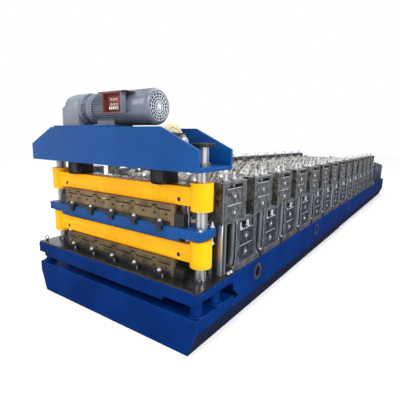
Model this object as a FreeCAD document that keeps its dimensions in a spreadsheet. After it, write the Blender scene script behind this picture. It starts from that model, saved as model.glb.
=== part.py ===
"""Double-layer roll forming machine with a crank-driven profile shear at its exit end.

Millimetres.  X is across the machine, Y runs from the shear (-Y) to the infeed (+Y), Z is up.
The origin is on the floor, in the middle of the machine's box.
Every size is a cell of the sheet "sizes"; the parts are bound to those cells by expressions.
"""
import FreeCAD, Part
import math
import os

import Sketcher

Vector = FreeCAD.Vector

# Driving dimensions, each with what it measures
SIZES = (
    # whole machine
    ("overall_length", 9500, "shear crosshead to rear end plate"),
    ("frame_width", 1900, "base frame across the side rails"),
    ("plate_thickness", 16, "rolled plate of the base frame"),
    # side rails
    ("rail_top", 465, "top of the side rails"),
    ("skirt_height", 190, "lip where the rail's skirt starts to slope in"),
    ("skirt_inset", 75, "slope of the skirt at the floor"),
    ("skirt_lip", 8, "ledge under the web"),
    ("flange_width", 150, "rail flanges"),
    ("rail_start", 500, "table front to rail front"),
    ("rail_joint", 4450, "table front to the joint of the two rail lengths"),
    ("rail_step", 10, "rear rails stand in by this much at the joint"),
    ("notch_low", 251, "bottom of the notch at the rail's front end"),
    ("notch_length", 101, "notch at the rail's front end"),
    ("notch_height", 84, "sloped notch at the rail's front end"),
    # lifting sleeves in the front rails
    ("sleeve_radius", 60, "lifting sleeve outside"),
    ("lifting_radius", 45, "lifting sleeve bore"),
    ("sleeve_length", 60, "lifting sleeve from the web's face"),
    ("sleeve_height", 350, "lifting sleeve axis above the floor"),
    ("sleeve_first", 933, "table front to the first sleeve"),
    ("sleeve_second", 2743, "table front to the second sleeve"),
    ("sleeve_third", 4793, "table front to the sleeve in the rear rail"),
    # cross members
    ("member_count", 9, "cross members"),
    ("member_first", 760, "table front to the first cross member"),
    ("member_width", 80, "cross member along the machine"),
    ("member_low", 190, "cross member underside"),
    ("member_high", 290, "cross member top"),
    # shear base box and table
    ("box_top", 287, "low box in front"),
    ("table_overhang", 10, "shear table past the frame on each side"),
    ("table_depth", 493, "shear table front to back"),
    ("table_underside", 384, "bottom of the table's front and back rims"),
    ("table_side_low", 415, "bottom of the table's side rims"),
    ("table_top", 490, "machined face of the table"),
    ("table_plate", 14, "machined plate on the table"),
    ("table_web", 28, "table web under the machined plate"),
    ("table_rim", 20, "table rims"),
    ("table_margin", 6, "rim left around the machined plate"),
    ("apron_low", 355, "bottom of the front apron"),
    ("apron_left_inset", 90, "table edge to the apron's left end"),
    ("apron_right_inset", 320, "table edge to the apron's right end"),
    ("leg_radius", 42, "table legs"),
    ("leg_foot_radius", 60, "table leg feet"),
    ("leg_foot", 12, "table leg foot thickness"),
    ("leg_inset", 70, "table edge to the legs"),
    ("leg_front", 75, "table front to the front legs"),
    ("leg_back", 305, "table front to the back legs"),
    # guide columns
    ("head_overhang", 10, "crosshead in front of the table"),
    ("column_inset", 128, "table edge to the guide columns"),
    ("column_back", 203, "table front to the guide columns"),
    ("column_radius", 42.5, "guide columns"),
    ("column_top", 1448, "top of the guide columns"),
    ("cap_radius", 78, "discs on the guide columns"),
    ("cap_thickness", 8, "discs on the guide columns"),
    ("fixed_fit", 0.5, "corners of the hole in a fixed plate, past the column"),
    ("sliding_fit", 0.7, "corners of the bore in a ram boss, past the column"),
    # crosshead
    ("head_shorter", 10, "frame past the crosshead, both sides together"),
    ("head_depth", 425, "crosshead over both plates"),
    ("head_low", 1290, "crosshead underside"),
    ("head_shoulder", 1433, "crosshead end height"),
    ("head_high", 1578, "crosshead top"),
    ("head_top_inset", 315, "crosshead's end to its top edge"),
    ("head_plate", 20, "crosshead plates"),
    ("head_floor", 30, "crosshead bottom plate"),
    ("head_seat", 1425, "top of the ribs that carry the shaft bearings"),
    ("mount_plate", 12, "motor mount plate"),
    # crank drive
    ("crank_height", 1480, "crankshaft axis"),
    ("crank_radius", 35, "crankshaft"),
    ("crank_bore", 36, "corners of the bores round the crankshaft"),
    ("crank_left_inset", 132, "left guide column to the crankshaft's end"),
    ("crank_right_inset", 177, "right guide column to the crankshaft's end"),
    ("crank_inset", 329, "guide columns to the cranks"),
    ("eccentric_radius", 60, "crank eccentrics"),
    ("eccentric_throw", 25, "half the stroke of the ram"),
    ("eccentric_width", 44, "crank eccentrics"),
    ("bearing_inner_inset", 512, "guide columns to the inner shaft bearings"),
    ("bearing_outer_inset", 210, "guide columns to the outer shaft bearings"),
    ("bearing_width", 50, "shaft bearing housings"),
    ("bearing_length", 190, "shaft bearing housings along Y"),
    ("bearing_top", 1540, "shaft bearing housings"),
    ("rod_thickness", 36, "connecting rods"),
    ("rod_big_radius", 70, "connecting rod big end"),
    ("rod_small_radius", 30, "connecting rod small end"),
    ("rod_shank", 50, "connecting rod shank width"),
    ("rod_fit", 0.5, "radial gap in the connecting rod eyes"),
    ("pin_height", 1262, "crank pin axis with the ram up"),
    ("pin_radius", 14, "crank pins"),
    ("block_width", 100, "crank blocks across X"),
    ("block_length", 165, "crank blocks along Y"),
    ("block_top", 1330, "crank blocks"),
    ("block_gap", 46, "slot of the crank blocks for the rods"),
    ("window_gap", 8, "crosshead window around the crank blocks"),
    ("brake_radius", 125, "brake disc"),
    ("brake_thickness", 30, "brake disc"),
    ("brake_inset", 276, "right guide column to the brake disc's middle"),
    ("hub_radius", 30, "end hub of the crankshaft"),
    ("hub_length", 32, "end hub of the crankshaft"),
    # gear motor
    ("motor_height", 1728, "motor axis"),
    ("reducer_radius", 135, "reducer's rounded ends"),
    ("reducer_inset", 267, "left guide column to the reducer's outer face"),
    ("reducer_far_inset", 487, "left guide column to the reducer's motor face"),
    ("reducer_neck_inset", 362, "left guide column to the reducer's output part"),
    ("reducer_neck_far", 482, "left guide column to the output part's right face"),
    ("reducer_neck_radius", 115, "reducer's output end"),
    ("shoulder_height", 1738, "reducer's lower shoulder"),
    ("shoulder_top", 1820, "reducer's upper shoulder"),
    ("shoulder_step", 35, "width of the reducer's lower shoulder"),
    ("shoulder_slope", 20, "rise of the reducer's lower shoulder"),
    ("mount_inset", 247, "left guide column to the motor mount plate"),
    ("flange_radius", 137, "motor flange"),
    ("flange_inset", 621, "left guide column to the motor flange's right face"),
    ("motor_radius", 115, "motor body"),
    ("motor_right", 105, "motor body's right end"),
    ("cowl_radius", 132.5, "fan cowl"),
    ("cowl_inset", 392, "right guide column to the fan cowl's end face"),
    ("terminal_left", 34, "terminal box, left edge"),
    ("terminal_right", 235, "terminal box, right edge"),
    ("terminal_low", 1676, "terminal box, bottom"),
    ("terminal_high", 1827, "terminal box, top"),
    ("terminal_front", 15, "table front to the terminal box's open face"),
    ("terminal_back", 68, "table front to the terminal box's back"),
    ("terminal_wall", 8, "terminal box walls"),
    ("terminal_neck", 50, "neck of the terminal box, across X"),
    ("cover_left", 20, "cover plate, left of centre"),
    ("cover_right", 285, "cover plate, right of centre"),
    ("cover_thickness", 6, "cover plate"),
    ("cover_back", 115, "table front to the cover plate's back edge"),
    # ram
    ("ram_beam_front", 148, "table front to the ram beams"),
    ("ram_beam_depth", 110, "ram beams along Y"),
    ("ram_beam_height", 134, "ram beams"),
    ("ram_beam_rise", 30, "boss underside to beam underside"),
    ("boss_radius", 80, "ram bosses"),
    ("boss_height", 198, "ram bosses"),
    ("upper_ram_low", 1007, "upper boss underside"),
    ("lower_ram_low", 594, "lower boss underside"),
    ("beam_hole_radius", 17, "round recess in the ram beams"),
    ("beam_hole_inset", 164, "guide columns to the round recess"),
    ("beam_hole_drop", 95, "beam top to the round recess"),
    ("beam_hole_depth", 30, "round recess"),
    ("tie_inset", 116, "guide columns to the tie rods"),
    ("tie_radius", 16, "tie rods"),
    ("tie_gap", 8, "hole of the middle beam around a tie rod"),
    # middle beam
    ("middle_reach", 63, "middle beam past the guide columns"),
    ("middle_front", 103, "table front to the middle beam"),
    ("middle_depth", 200, "middle beam along Y"),
    ("middle_low", 806, "middle beam underside"),
    ("middle_high", 877, "middle beam top"),
    ("stiffener_inset", 132, "guide columns to the stiffener's ends"),
    ("stiffener_drop", 26, "stiffener below the beam"),
    ("stiffener_depth", 24, "stiffener along Y"),
    # profile knives
    ("knife_inset", 182, "guide columns to the ends of the fixed knives"),
    ("knife_thickness", 25, "fixed and moving knives"),
    ("knife_gap", 5, "fixed knife to moving knife"),
    ("rib_count", 5, "ribs of the sheet profile"),
    ("rib_margin", 190, "knife end to the outermost rib of the sheet profile"),
    ("rib_height", 25, "ribs of the sheet profile"),
    ("rib_foot", 70, "rib width at the sheet"),
    ("rib_crown", 30, "rib width at its top"),
    ("upper_edge", 985, "sheet line of the upper fixed knife"),
    ("knife_open", 15, "moving knife above the fixed knife with the ram up"),
    ("knife_slot", 10, "sheet slot in the fixed knives"),
    ("knife_slot_end", 40, "sheet slot to the fixed knife's end"),
    ("knife_top_gap", 4, "fixed knife below the ram beam with the ram up"),
    ("moving_knife_inset", 10, "fixed knife past the moving knife"),
    ("post_width", 40, "posts beside the fixed knives"),
    ("post_depth", 60, "posts beside the fixed knives"),
    ("clamp_count", 5, "knife clamps on each level"),
    ("clamp_margin", 120, "knife end to the outermost clamp"),
    ("clamp_width", 48, "knife clamps"),
    ("clamp_length", 48, "lower knife clamps along Y"),
    ("clamp_height", 34, "lower knife clamps"),
    ("clamp_overhang", 20, "clamps in front of the middle beam"),
    ("hook_drop", 42, "upper clamps, below the middle beam's top"),
    ("hook_rise", 28, "upper clamps, above the middle beam's top"),
    # forming stands
    ("station_count", 14, "forming stations on each level"),
    ("station_pitch", 511, "forming stations"),
    ("station_first", 730, "table front to the first lower station"),
    ("row_stagger", 215, "upper stations in front of the lower ones"),
    ("stand_inset", 22, "frame side to the outer face of the stand frames"),
    ("stand_depth", 120, "stand frames across X"),
    ("stand_width", 360, "stand frames along Y"),
    ("stand_opening", 236, "window of the stand frames"),
    ("stand_bridge", 22, "bridge over the window"),
    ("stand_sill", 10, "sill of the upper stand frames"),
    ("stand_foot", 22, "foot gusset, outwards"),
    ("stand_foot_rise", 70, "foot gusset, upwards"),
    ("pad_top", 520, "stand pads"),
    ("pad_long", 265, "pads under the stands"),
    ("pad_seam", 2, "seam between pads"),
    ("pad_inset", 14, "frame side to the outer edge of the pads"),
    ("pad_width", 136, "pads across X"),
    ("lower_stand_top", 880, "top of the lower stand frames"),
    ("upper_stand_top", 1195, "top of the upper stand frames"),
    ("chock_inset", 7, "bearing chock behind the frame's face"),
    ("chock_gap", 1, "chock to the frame's window"),
    ("chock_height", 135, "lower bearing chocks"),
    ("upper_chock_height", 126, "upper bearing chocks"),
    ("jack_radius", 13, "adjusting screws"),
    ("jack_spread", 130, "adjusting screw spacing in a stand"),
    # rolls
    ("lower_shaft", 582, "lower level, bottom roll axis"),
    ("upper_shaft", 944, "upper level, bottom roll axis"),
    ("shaft_spacing", 132, "roll axes of a pair"),
    ("roll_radius", 55, "roll drums"),
    ("roll_margin", 90, "drum end to stand frame"),
    ("neck_radius", 44, "corners of the roll shafts"),
    # infeed
    ("infeed_start", 7756, "table front to the infeed side plates"),
    ("infeed_length", 1390, "infeed side plates"),
    ("infeed_front_top", 1015, "infeed side plates, front height"),
    ("infeed_back_top", 880, "infeed side plates, back height"),
    ("infeed_plate", 24, "infeed side plates"),
    ("infeed_inset", 50, "frame side to the outer face of the infeed side plates"),
    ("infeed_rib", 30, "infeed ribs"),
    ("infeed_rib_count", 4, "infeed ribs on each side"),
    ("infeed_table", 12, "infeed table sheets"),
    ("infeed_table_inset", 120, "table sheets from the side plates' ends"),
    ("infeed_lower_level", 640, "lower infeed table"),
    ("infeed_upper_level", 850, "upper infeed table"),
    ("infeed_roller", 30, "infeed rollers"),
)

# Repeated round pieces have flat sides, to keep the model light
DRUM_SIDES = 10
SHAFT_SIDES = 4

# Places and widths that follow from the driving dimensions
DERIVED = {
    "table_width": "(frame_width + 2 * table_overhang)",
    "leg_across": "(table_width / 2 - leg_inset)",
    "column_across": "(table_width / 2 - column_inset)",
    "middle_width": "(2 * column_across + 2 * middle_reach)",
    "tie_across": "(column_across - tie_inset)",
    "beam_hole_across": "(column_across - beam_hole_inset)",
    "stand_outer": "(frame_width / 2 - stand_inset)",
    "pad_outer": "(frame_width / 2 - pad_inset)",
    "infeed_across": "(frame_width / 2 - infeed_inset)",
    "member_pitch": "((overall_length - head_overhang - 2 * member_first) / (member_count - 1))",
    "knife_half": "(column_across - knife_inset)",
    "bearing_outer": "(column_across - bearing_outer_inset)",
    "bearing_inner": "(column_across - bearing_inner_inset)",
    "crank_across": "(column_across - crank_inset)",
    "crank_left": "(column_across - crank_left_inset)",
    "crank_right": "(column_across - crank_right_inset)",
    "brake_across": "(column_across - brake_inset)",
    "reducer_left": "(column_across - reducer_inset)",
    "reducer_right": "(column_across - reducer_far_inset)",
    "reducer_neck_left": "(column_across - reducer_neck_inset)",
    "reducer_neck_right": "(column_across - reducer_neck_far)",
    "flange_right": "(column_across - flange_inset)",
    "cowl_right": "(column_across - cowl_inset)",
    "mount_left": "(column_across - mount_inset)",
    "stiffener_half": "(column_across - stiffener_inset)",
    "moving_knife_half": "(knife_half - moving_knife_inset)",
    "rib_pitch": "(2 * (knife_half - rib_margin) / (rib_count - 1))",
    "clamp_pitch": "(2 * (knife_half - clamp_margin) / (clamp_count - 1))",
    "apron_left": "(table_width / 2 - apron_left_inset)",
    "apron_right": "(table_width / 2 - apron_right_inset)",
    "head_width": "(frame_width - head_shorter)",
    "head_top_half": "(head_width / 2 - head_top_inset)",
}

document = FreeCAD.newDocument("RollForming")
sheet = document.addObject("Spreadsheet::Sheet", "sizes")
for row, (alias, value, meaning) in enumerate(SIZES, start=1):
    sheet.set("A%d" % row, alias)
    sheet.set("B%d" % row, str(value))
    sheet.set("C%d" % row, meaning)
    sheet.setAlias("B%d" % row, alias)
document.recompute()

subparts = []


def cells(text):
    """Write an expression with bare cell names: every name becomes a reference to the sheet."""
    words, word = [], ""
    for letter in text + " ":
        if letter.isalnum() or letter in "_.":
            word += letter
            continue
        if word in DERIVED:
            word = cells(DERIVED[word])
        elif word[:1].isalpha():
            word = "sizes." + word
        words.append(word)
        words.append(letter)
        word = ""
    return "".join(words).strip()


def number(text):
    """The present value of an expression, in millimetres."""
    return float(sheet.evalExpression(cells(text)))


def along(distance):
    """Y of a place that is measured from the front of the shear table."""
    return "(0 - overall_length / 2 + head_overhang + %s)" % distance


def bind(thing, **expressions):
    for name, text in expressions.items():
        thing.setExpression(name.replace("__", "."), cells(text))
    return thing


def keep(thing, label):
    """Make an object a sub-part: its label names its file."""
    thing.Label = label
    subparts.append(thing)
    return thing


def block(name, low, size):
    """A box from its low corner and its sizes, all as expressions."""
    box = document.addObject("Part::Box", name)
    bind(box, Length=size[0], Width=size[1], Height=size[2])
    return bind(box, Placement__Base__x=low[0], Placement__Base__y=low[1], Placement__Base__z=low[2])


def rod(name, base, axis, radius, length, sides=0):
    """A bar that starts at base and runs along X, Y or Z: round, or with some number of flat sides."""
    turn = {"X": (Vector(0, 1, 0), 90), "Y": (Vector(1, 0, 0), -90), "Z": (Vector(0, 0, 1), 0)}[axis]
    if sides:
        bar = document.addObject("Part::Prism", name)
        bar.Polygon = sides
        bind(bar, Circumradius=radius, Height=length)
    else:
        bar = document.addObject("Part::Cylinder", name)
        bind(bar, Radius=radius, Height=length)
    bar.Placement.Rotation = FreeCAD.Rotation(*turn)
    return bind(bar, Placement__Base__x=base[0], Placement__Base__y=base[1], Placement__Base__z=base[2])


def fused(name, pieces):
    whole = document.addObject("Part::MultiFuse", name)
    whole.Shapes = pieces
    return whole


def cut(name, base, tool):
    rest = document.addObject("Part::Cut", name)
    rest.Base = base
    rest.Tool = tool
    return rest


def group(name, pieces):
    """Separate solids that share one file."""
    together = document.addObject("Part::Compound", name)
    together.Links = pieces
    return together


def mirrored(name, source):
    """The same piece on the other side of the machine."""
    copy = document.addObject("Part::Mirroring", name)
    copy.Source = source
    copy.Normal = Vector(1, 0, 0)
    return copy


def body(name):
    return document.addObject("PartDesign::Body", name)


def datum(owner, role):
    return next(item for item in owner.Origin.OriginFeatures if item.Role == role)


def sketch(owner, name, plane, level):
    """An empty sketch on one of the body's planes, moved along that plane's own axis to level."""
    drawing = owner.newObject("Sketcher::SketchObject", name)
    drawing.AttachmentSupport = [(datum(owner, plane + "_Plane"), "")]
    drawing.MapMode = "FlatFace"
    distance = "0 - (%s)" % level if plane == "XZ" else level
    return bind(drawing, AttachmentOffset__Base__z=distance)


def place_point(drawing, geometry, position, corner):
    """Tie a point of the sketch to the two expressions of a corner."""
    for kind, text in zip(("DistanceX", "DistanceY"), corner):
        rule = Sketcher.Constraint(kind, -1, 1, geometry, position, number(text))
        drawing.setExpression("Constraints[%d]" % drawing.addConstraint(rule), cells(text))


def outline(owner, name, plane, level, corners):
    """A closed outline of straight edges."""
    drawing = sketch(owner, name, plane, level)
    return add_loop(drawing, corners)


def add_loop(drawing, corners):
    first = drawing.GeometryCount
    points = [Vector(number(x), number(y), 0) for x, y in corners]
    count = len(points)
    for index in range(count):
        drawing.addGeometry(Part.LineSegment(points[index], points[(index + 1) % count]))
    for index in range(count):
        following = first + (index + 1) % count
        drawing.addConstraint(Sketcher.Constraint("Coincident", first + index, 2, following, 1))
    for index, corner in enumerate(corners):
        place_point(drawing, first + index, 1, corner)
    return drawing


def add_circle(drawing, centre, radius):
    point = Vector(number(centre[0]), number(centre[1]), 0)
    index = drawing.addGeometry(Part.Circle(point, Vector(0, 0, 1), number(radius)))
    place_point(drawing, index, 3, centre)
    rule = drawing.addConstraint(Sketcher.Constraint("Radius", index, number(radius)))
    drawing.setExpression("Constraints[%d]" % rule, cells(radius))
    return drawing


def feature(owner, kind, name, profile, length, backwards):
    """A pad or pocket of a sketch; along the sketch's normal unless backwards."""
    made = owner.newObject("PartDesign::" + kind, name)
    made.Profile = profile
    made.Reversed = backwards
    bind(made, Length=length)
    return made


def pad(owner, name, profile, length, backwards=False):
    return feature(owner, "Pad", name, profile, length, backwards)


def pocket(owner, name, profile, length, backwards=False):
    return feature(owner, "Pocket", name, profile, length, backwards)


def repeat(owner, name, originals, axis, spacing, count):
    """Copies of the features along one of the body's axes."""
    pattern = owner.newObject("PartDesign::LinearPattern", name)
    pattern.Originals = originals
    pattern.Direction = (datum(owner, axis + "_Axis"), [""])
    pattern.Mode = "Spacing"
    bind(pattern, Offset=spacing, Occurrences=count)
    owner.Tip = pattern
    return pattern


def rectangle(low, high):
    """Corners of a rectangle between two opposite corners."""
    return [(low[0], low[1]), (high[0], low[1]), (high[0], high[1]), (low[0], high[1])]


# Base frame

def rail_corners(outer):
    """Section of a side rail: upright web, sloped skirt, and flanges that point inwards."""
    floor = "(%s - skirt_inset)" % outer
    return [
        (floor, "0"),
        (outer + " - skirt_lip", "skirt_height - skirt_lip"),
        (outer, "skirt_height"),
        (outer, "rail_top"),
        (outer + " - flange_width", "rail_top"),
        (outer + " - flange_width", "rail_top - plate_thickness"),
        (outer + " - plate_thickness", "rail_top - plate_thickness"),
        (outer + " - plate_thickness", "skirt_height"),
        (floor + " - plate_thickness", "plate_thickness"),
        (floor + " - flange_width", "plate_thickness"),
        (floor + " - flange_width", "0"),
    ]


def add_sleeves(rail, outer, places):
    """Lifting holes: a tube welded behind the web, bored through."""
    sleeves = sketch(rail, "SleeveCircles", "YZ", outer + " - plate_thickness")
    bores = sketch(rail, "SleeveBores", "YZ", outer)
    for place in places:
        add_loop(sleeves, polygon((along(place), "sleeve_height"), "sleeve_radius", 16))
        add_circle(bores, (along(place), "sleeve_height"), "lifting_radius")
    pad(rail, "Sleeves", sleeves, "sleeve_length - plate_thickness", True)
    pocket(rail, "LiftingBores", bores, "sleeve_length")


def front_rail():
    rail = body("FrontRail")
    outer = "frame_width / 2"
    section = outline(rail, "RailSection", "XZ", along("rail_start"), rail_corners(outer))
    pad(rail, "RailLength", section, "rail_joint - rail_start", True)
    add_sleeves(rail, outer, ("sleeve_first", "sleeve_second"))
    notch = outline(rail, "NotchOutline", "YZ", outer, [
        (along("rail_start"), "notch_low"),
        (along("rail_start + notch_length"), "notch_low"),
        (along("rail_start"), "notch_low + notch_height"),
    ])
    pocket(rail, "FrontNotch", notch, "plate_thickness")
    return rail


def rear_rail():
    rail = body("RearRail")
    outer = "(frame_width / 2 - rail_step)"
    section = outline(rail, "RailSection", "XZ", along("rail_joint"), rail_corners(outer))
    length = "overall_length - head_overhang - rail_joint - plate_thickness"
    pad(rail, "RailLength", section, length, True)
    add_sleeves(rail, outer, ("sleeve_third",))
    return rail


def rear_end_plate():
    plate = body("RearPlate")
    outer = "(frame_width / 2 - rail_step)"
    corners = [
        (outer + " - skirt_inset", "0"),
        (outer, "skirt_height"),
        (outer, "rail_top"),
        ("0 - " + outer, "rail_top"),
        ("0 - " + outer, "skirt_height"),
        ("skirt_inset - " + outer, "0"),
    ]
    section = outline(plate, "PlateOutline", "XZ", "overall_length / 2 - plate_thickness", corners)
    pad(plate, "PlateThickness", section, "plate_thickness", True)
    return plate


def cross_members():
    """Flat-sided hollow sections between the rails' webs; those behind the joint are shorter."""
    members = []
    for index in range(int(number("member_count"))):
        centre = "(member_first + %d * member_pitch)" % index
        reach = "(frame_width / 2 - plate_thickness)"
        if number(centre) > number("rail_joint"):
            reach = "(frame_width / 2 - rail_step - plate_thickness)"
        low = ("0 - " + reach, along(centre) + " - member_width / 2", "member_low")
        size = ("2 * " + reach, "member_width", "member_high - member_low")
        members.append(block("Member", low, size))
    return group("CrossMembers", members)


def shear_base_box():
    box = body("BaseBox")
    outer, floor = "frame_width / 2", "(frame_width / 2 - skirt_inset)"
    shell = outline(box, "BoxSection", "XZ", along("0"), [
        ("0 - " + floor, "0"),
        ("skirt_lip - " + outer, "skirt_height - skirt_lip"),
        ("0 - " + outer, "skirt_height"),
        ("0 - " + outer, "box_top"),
        (outer, "box_top"),
        (outer, "skirt_height"),
        (outer + " - skirt_lip", "skirt_height - skirt_lip"),
        (floor, "0"),
    ])
    pad(box, "BoxLength", shell, "rail_start", True)
    inner, inner_floor = outer + " - plate_thickness", floor + " - plate_thickness"
    hollow = outline(box, "HollowSection", "XZ", along("rail_start"), [
        ("plate_thickness - " + floor, "0"),
        ("plate_thickness - " + outer, "skirt_height"),
        ("plate_thickness - " + outer, "box_top - plate_thickness"),
        (inner, "box_top - plate_thickness"),
        (inner, "skirt_height"),
        (inner_floor, "0"),
    ])
    pocket(box, "Hollow", hollow, "rail_start - plate_thickness", True)
    return box


def stand_pads():
    """Machined pads on the rail: a long one under each stand, a shorter one between stands."""
    pads = body("StandPads")
    inner = "pad_outer - pad_width"
    under = "(station_first - pad_long / 2)"
    between = "(station_first + pad_long / 2)"
    short = "station_pitch - pad_long - 2 * pad_seam"
    long_pad = outline(pads, "LongPad", "XY", "rail_top", rectangle(
        (inner, along(under)), ("pad_outer", along(under + " + pad_long"))))
    short_start = along(between + " + pad_seam")
    short_pad = outline(pads, "ShortPad", "XY", "rail_top", rectangle(
        (inner, short_start), ("pad_outer", short_start + " + " + short)))
    rows = [pad(pads, "LongPads", long_pad, "pad_top - rail_top"),
            pad(pads, "ShortPads", short_pad, "pad_top - rail_top")]
    repeat(pads, "PadRow", rows, "Y", "station_pitch", "station_count")
    return pads


# Forming stands

def stand_frames(name, first, low, high, sill, feet):
    """A row of portal frames; with a sill they are closed rings."""
    frames = body(name)
    half, window = "stand_width / 2", "stand_opening / 2"
    ends = [("0 - ", "0 - "), ("", "")]
    if feet:
        left = [("0 - %s - stand_foot" % half, low), ("0 - " + half, low + " + stand_foot_rise")]
        right = [(half, low + " + stand_foot_rise"), (half + " + stand_foot", low)]
    else:
        left = [("0 - " + half, low)]
        right = [(half, low)]
    portal = left + [("0 - " + half, high), (half, high)] + right
    top = high + " - stand_bridge"
    if sill:
        loops = [portal, rectangle(("0 - " + window, low + " + " + sill), (window, top))]
    else:
        loops = [portal + [(window, low), (window, top), ("0 - " + window, top), ("0 - " + window, low)]]
    drawing = sketch(frames, "FrameOutline", "YZ", "stand_outer - stand_depth")
    for loop in loops:
        add_loop(drawing, [(along(first) + " + " + y, z) for y, z in loop])
    frame = pad(frames, "Frame", drawing, "stand_depth")
    repeat(frames, "FrameRow", [frame], "Y", "station_pitch", "station_count")
    return frames


def chocks(name, first, low, height):
    """Two bearing chocks in each stand, one above the other."""
    row = body(name)
    half = "(stand_opening / 2 - chock_gap)"
    made = []
    for index in range(2):
        bottom = "%s + %d * (%s + chock_gap)" % (low, index, height)
        corners = rectangle((along(first) + " - " + half, bottom),
                            (along(first) + " + " + half, "%s + %s" % (bottom, height)))
        face = outline(row, "ChockFace", "YZ", "stand_outer - chock_inset", corners)
        made.append(pad(row, "Chock", face, "stand_depth - 2 * chock_inset", True))
    repeat(row, "ChockRow", made, "Y", "station_pitch", "station_count")
    return row


def polygon(centre, radius, sides):
    """Corners of a regular polygon with flats at its left and right."""
    corners = []
    for index in range(sides):
        angle = 2 * math.pi * (index + 0.5) / sides
        corners.append(("%s + (%.6f) * %s" % (centre[0], math.cos(angle), radius),
                        "%s + (%.6f) * %s" % (centre[1], math.sin(angle), radius)))
    return corners


def adjusting_screws():
    """Two screws press on the upper chock of every stand, on both levels."""
    screws = body("AdjustingScrews")
    across = "stand_outer - stand_depth / 2"
    made = []
    levels = (
        ("station_first", "pad_top + 2 * chock_height + chock_gap", "lower_stand_top"),
        ("(station_first - row_stagger)",
         "lower_stand_top + stand_sill + 2 * upper_chock_height + chock_gap", "upper_stand_top"),
    )
    for first, low, high in levels:
        for sign in ("-", "+"):
            centre = along(first) + " %s jack_spread / 2" % sign
            section = polygon((across, centre), "jack_radius", 4)
            drawing = outline(screws, "ScrewSection", "XY", low, section)
            made.append(pad(screws, "Screw", drawing, "%s - stand_bridge - (%s)" % (high, low)))
    repeat(screws, "ScrewRow", made, "Y", "station_pitch", "station_count")
    return screws


def front_posts():
    """Posts on the shear table that carry the front leg of the first upper stands."""
    width = "(stand_width - stand_opening) / 2"
    start = along("station_first - row_stagger - stand_width / 2")
    height = "lower_stand_top - table_top"
    right = block("FrontPostRight", ("stand_outer - stand_depth", start, "table_top"),
                  ("stand_depth", width, height))
    left = block("FrontPostLeft", ("0 - stand_outer", start, "table_top"), ("stand_depth", width, height))
    return group("FrontPosts", [right, left])


def rolls(name, first, axis):
    """A row of drums with their shafts; the shafts end at the chocks."""
    row = body(name)
    chock_face = "(stand_outer - stand_depth + chock_inset)"
    drum_end = "(stand_outer - stand_depth - roll_margin)"
    made = []
    for label, reach, radius, sides in (("Drum", drum_end, "roll_radius", DRUM_SIDES),
                                        ("Shaft", chock_face, "neck_radius", SHAFT_SIDES)):
        section = polygon((along(first), axis), radius, sides)
        drawing = outline(row, label + "Outline", "YZ", "0 - " + reach, section)
        made.append(pad(row, label, drawing, "2 * " + reach))
    repeat(row, "RollRow", made, "Y", "station_pitch", "station_count")
    return row


# Shear table and columns

def shear_table_frame():
    table = body("TableFrame")
    half = "table_width / 2"
    seat = "table_top - table_plate"
    whole = outline(table, "TableOutline", "XY", "table_underside", rectangle(
        ("0 - " + half, along("0")), (half, along("table_depth"))))
    pad(table, "TableHeight", whole, seat + " - table_underside")
    inside = outline(table, "TableInside", "XY", "table_underside", rectangle(
        ("table_rim - " + half, along("table_rim")),
        (half + " - table_rim", along("table_depth - table_rim"))))
    pocket(table, "TableHollow", inside, seat + " - table_web - table_underside", True)
    side = outline(table, "SideRimOutline", "YZ", half, rectangle(
        (along("table_rim"), "table_underside"), (along("table_depth - table_rim"), "table_side_low")))
    pocket(table, "SideRims", side, "table_width")
    apron = outline(table, "ApronOutline", "XZ", along("0"), rectangle(
        ("0 - apron_left", "apron_low"), ("apron_right", "table_underside")))
    pad(table, "Apron", apron, "table_rim", True)
    return table


def shear_table_plate():
    inset = "table_margin"
    return block("TablePlate", ("table_margin - table_width / 2", along(inset), "table_top - table_plate"),
                 ("table_width - 2 * table_margin", "table_depth - 2 * table_margin", "table_plate"))


def table_legs():
    """Round legs with disc feet, on the low box."""
    underside = "table_top - table_plate - table_web"
    legs = []
    for side in ("leg_across", "0 - leg_across"):
        for place in ("leg_front", "leg_back"):
            base = (side, along(place), "box_top")
            leg = rod("Leg", base, "Z", "leg_radius", underside + " - box_top", 12)
            foot = rod("Foot", base, "Z", "leg_foot_radius", "leg_foot", 12)
            legs.append(fused("LegWithFoot", [leg, foot]))
    return group("TableLegs", legs)


def guide_column():
    return rod("GuideColumn", ("column_across", along("column_back"), "table_top"), "Z",
               "column_radius", "column_top - table_top", 36)


def column_caps():
    caps = [rod("Cap", (side, along("column_back"), "column_top"), "Z", "cap_radius", "cap_thickness", 24)
            for side in ("column_across", "0 - column_across")]
    return group("ColumnCaps", caps)


def middle_beam():
    """Fixed beam that carries the upper knife; the columns and the ram's tie rods pass through it."""
    beam = body("MiddleBeam")
    half = "middle_width / 2"
    plan = outline(beam, "BeamPlan", "XY", "middle_low", rectangle(
        ("0 - " + half, along("middle_front")), (half, along("middle_front + middle_depth"))))
    pad(beam, "BeamHeight", plan, "middle_high - middle_low")
    strip = outline(beam, "StiffenerPlan", "XY", "middle_low", rectangle(
        ("0 - stiffener_half", along("middle_front")),
        ("stiffener_half", along("middle_front + stiffener_depth"))))
    pad(beam, "Stiffener", strip, "stiffener_drop", True)
    holes = sketch(beam, "BeamHoles", "XY", "middle_high")
    for sign in ("", "0 - "):
        add_loop(holes, polygon((sign + "column_across", along("column_back")), HOLE_CORNERS, 36))
        add_loop(holes, polygon((sign + "tie_across", along("column_back")), "(tie_radius + tie_gap)", 12))
    pocket(beam, "Holes", holes, "middle_high - middle_low")
    return beam


# Crosshead

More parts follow.
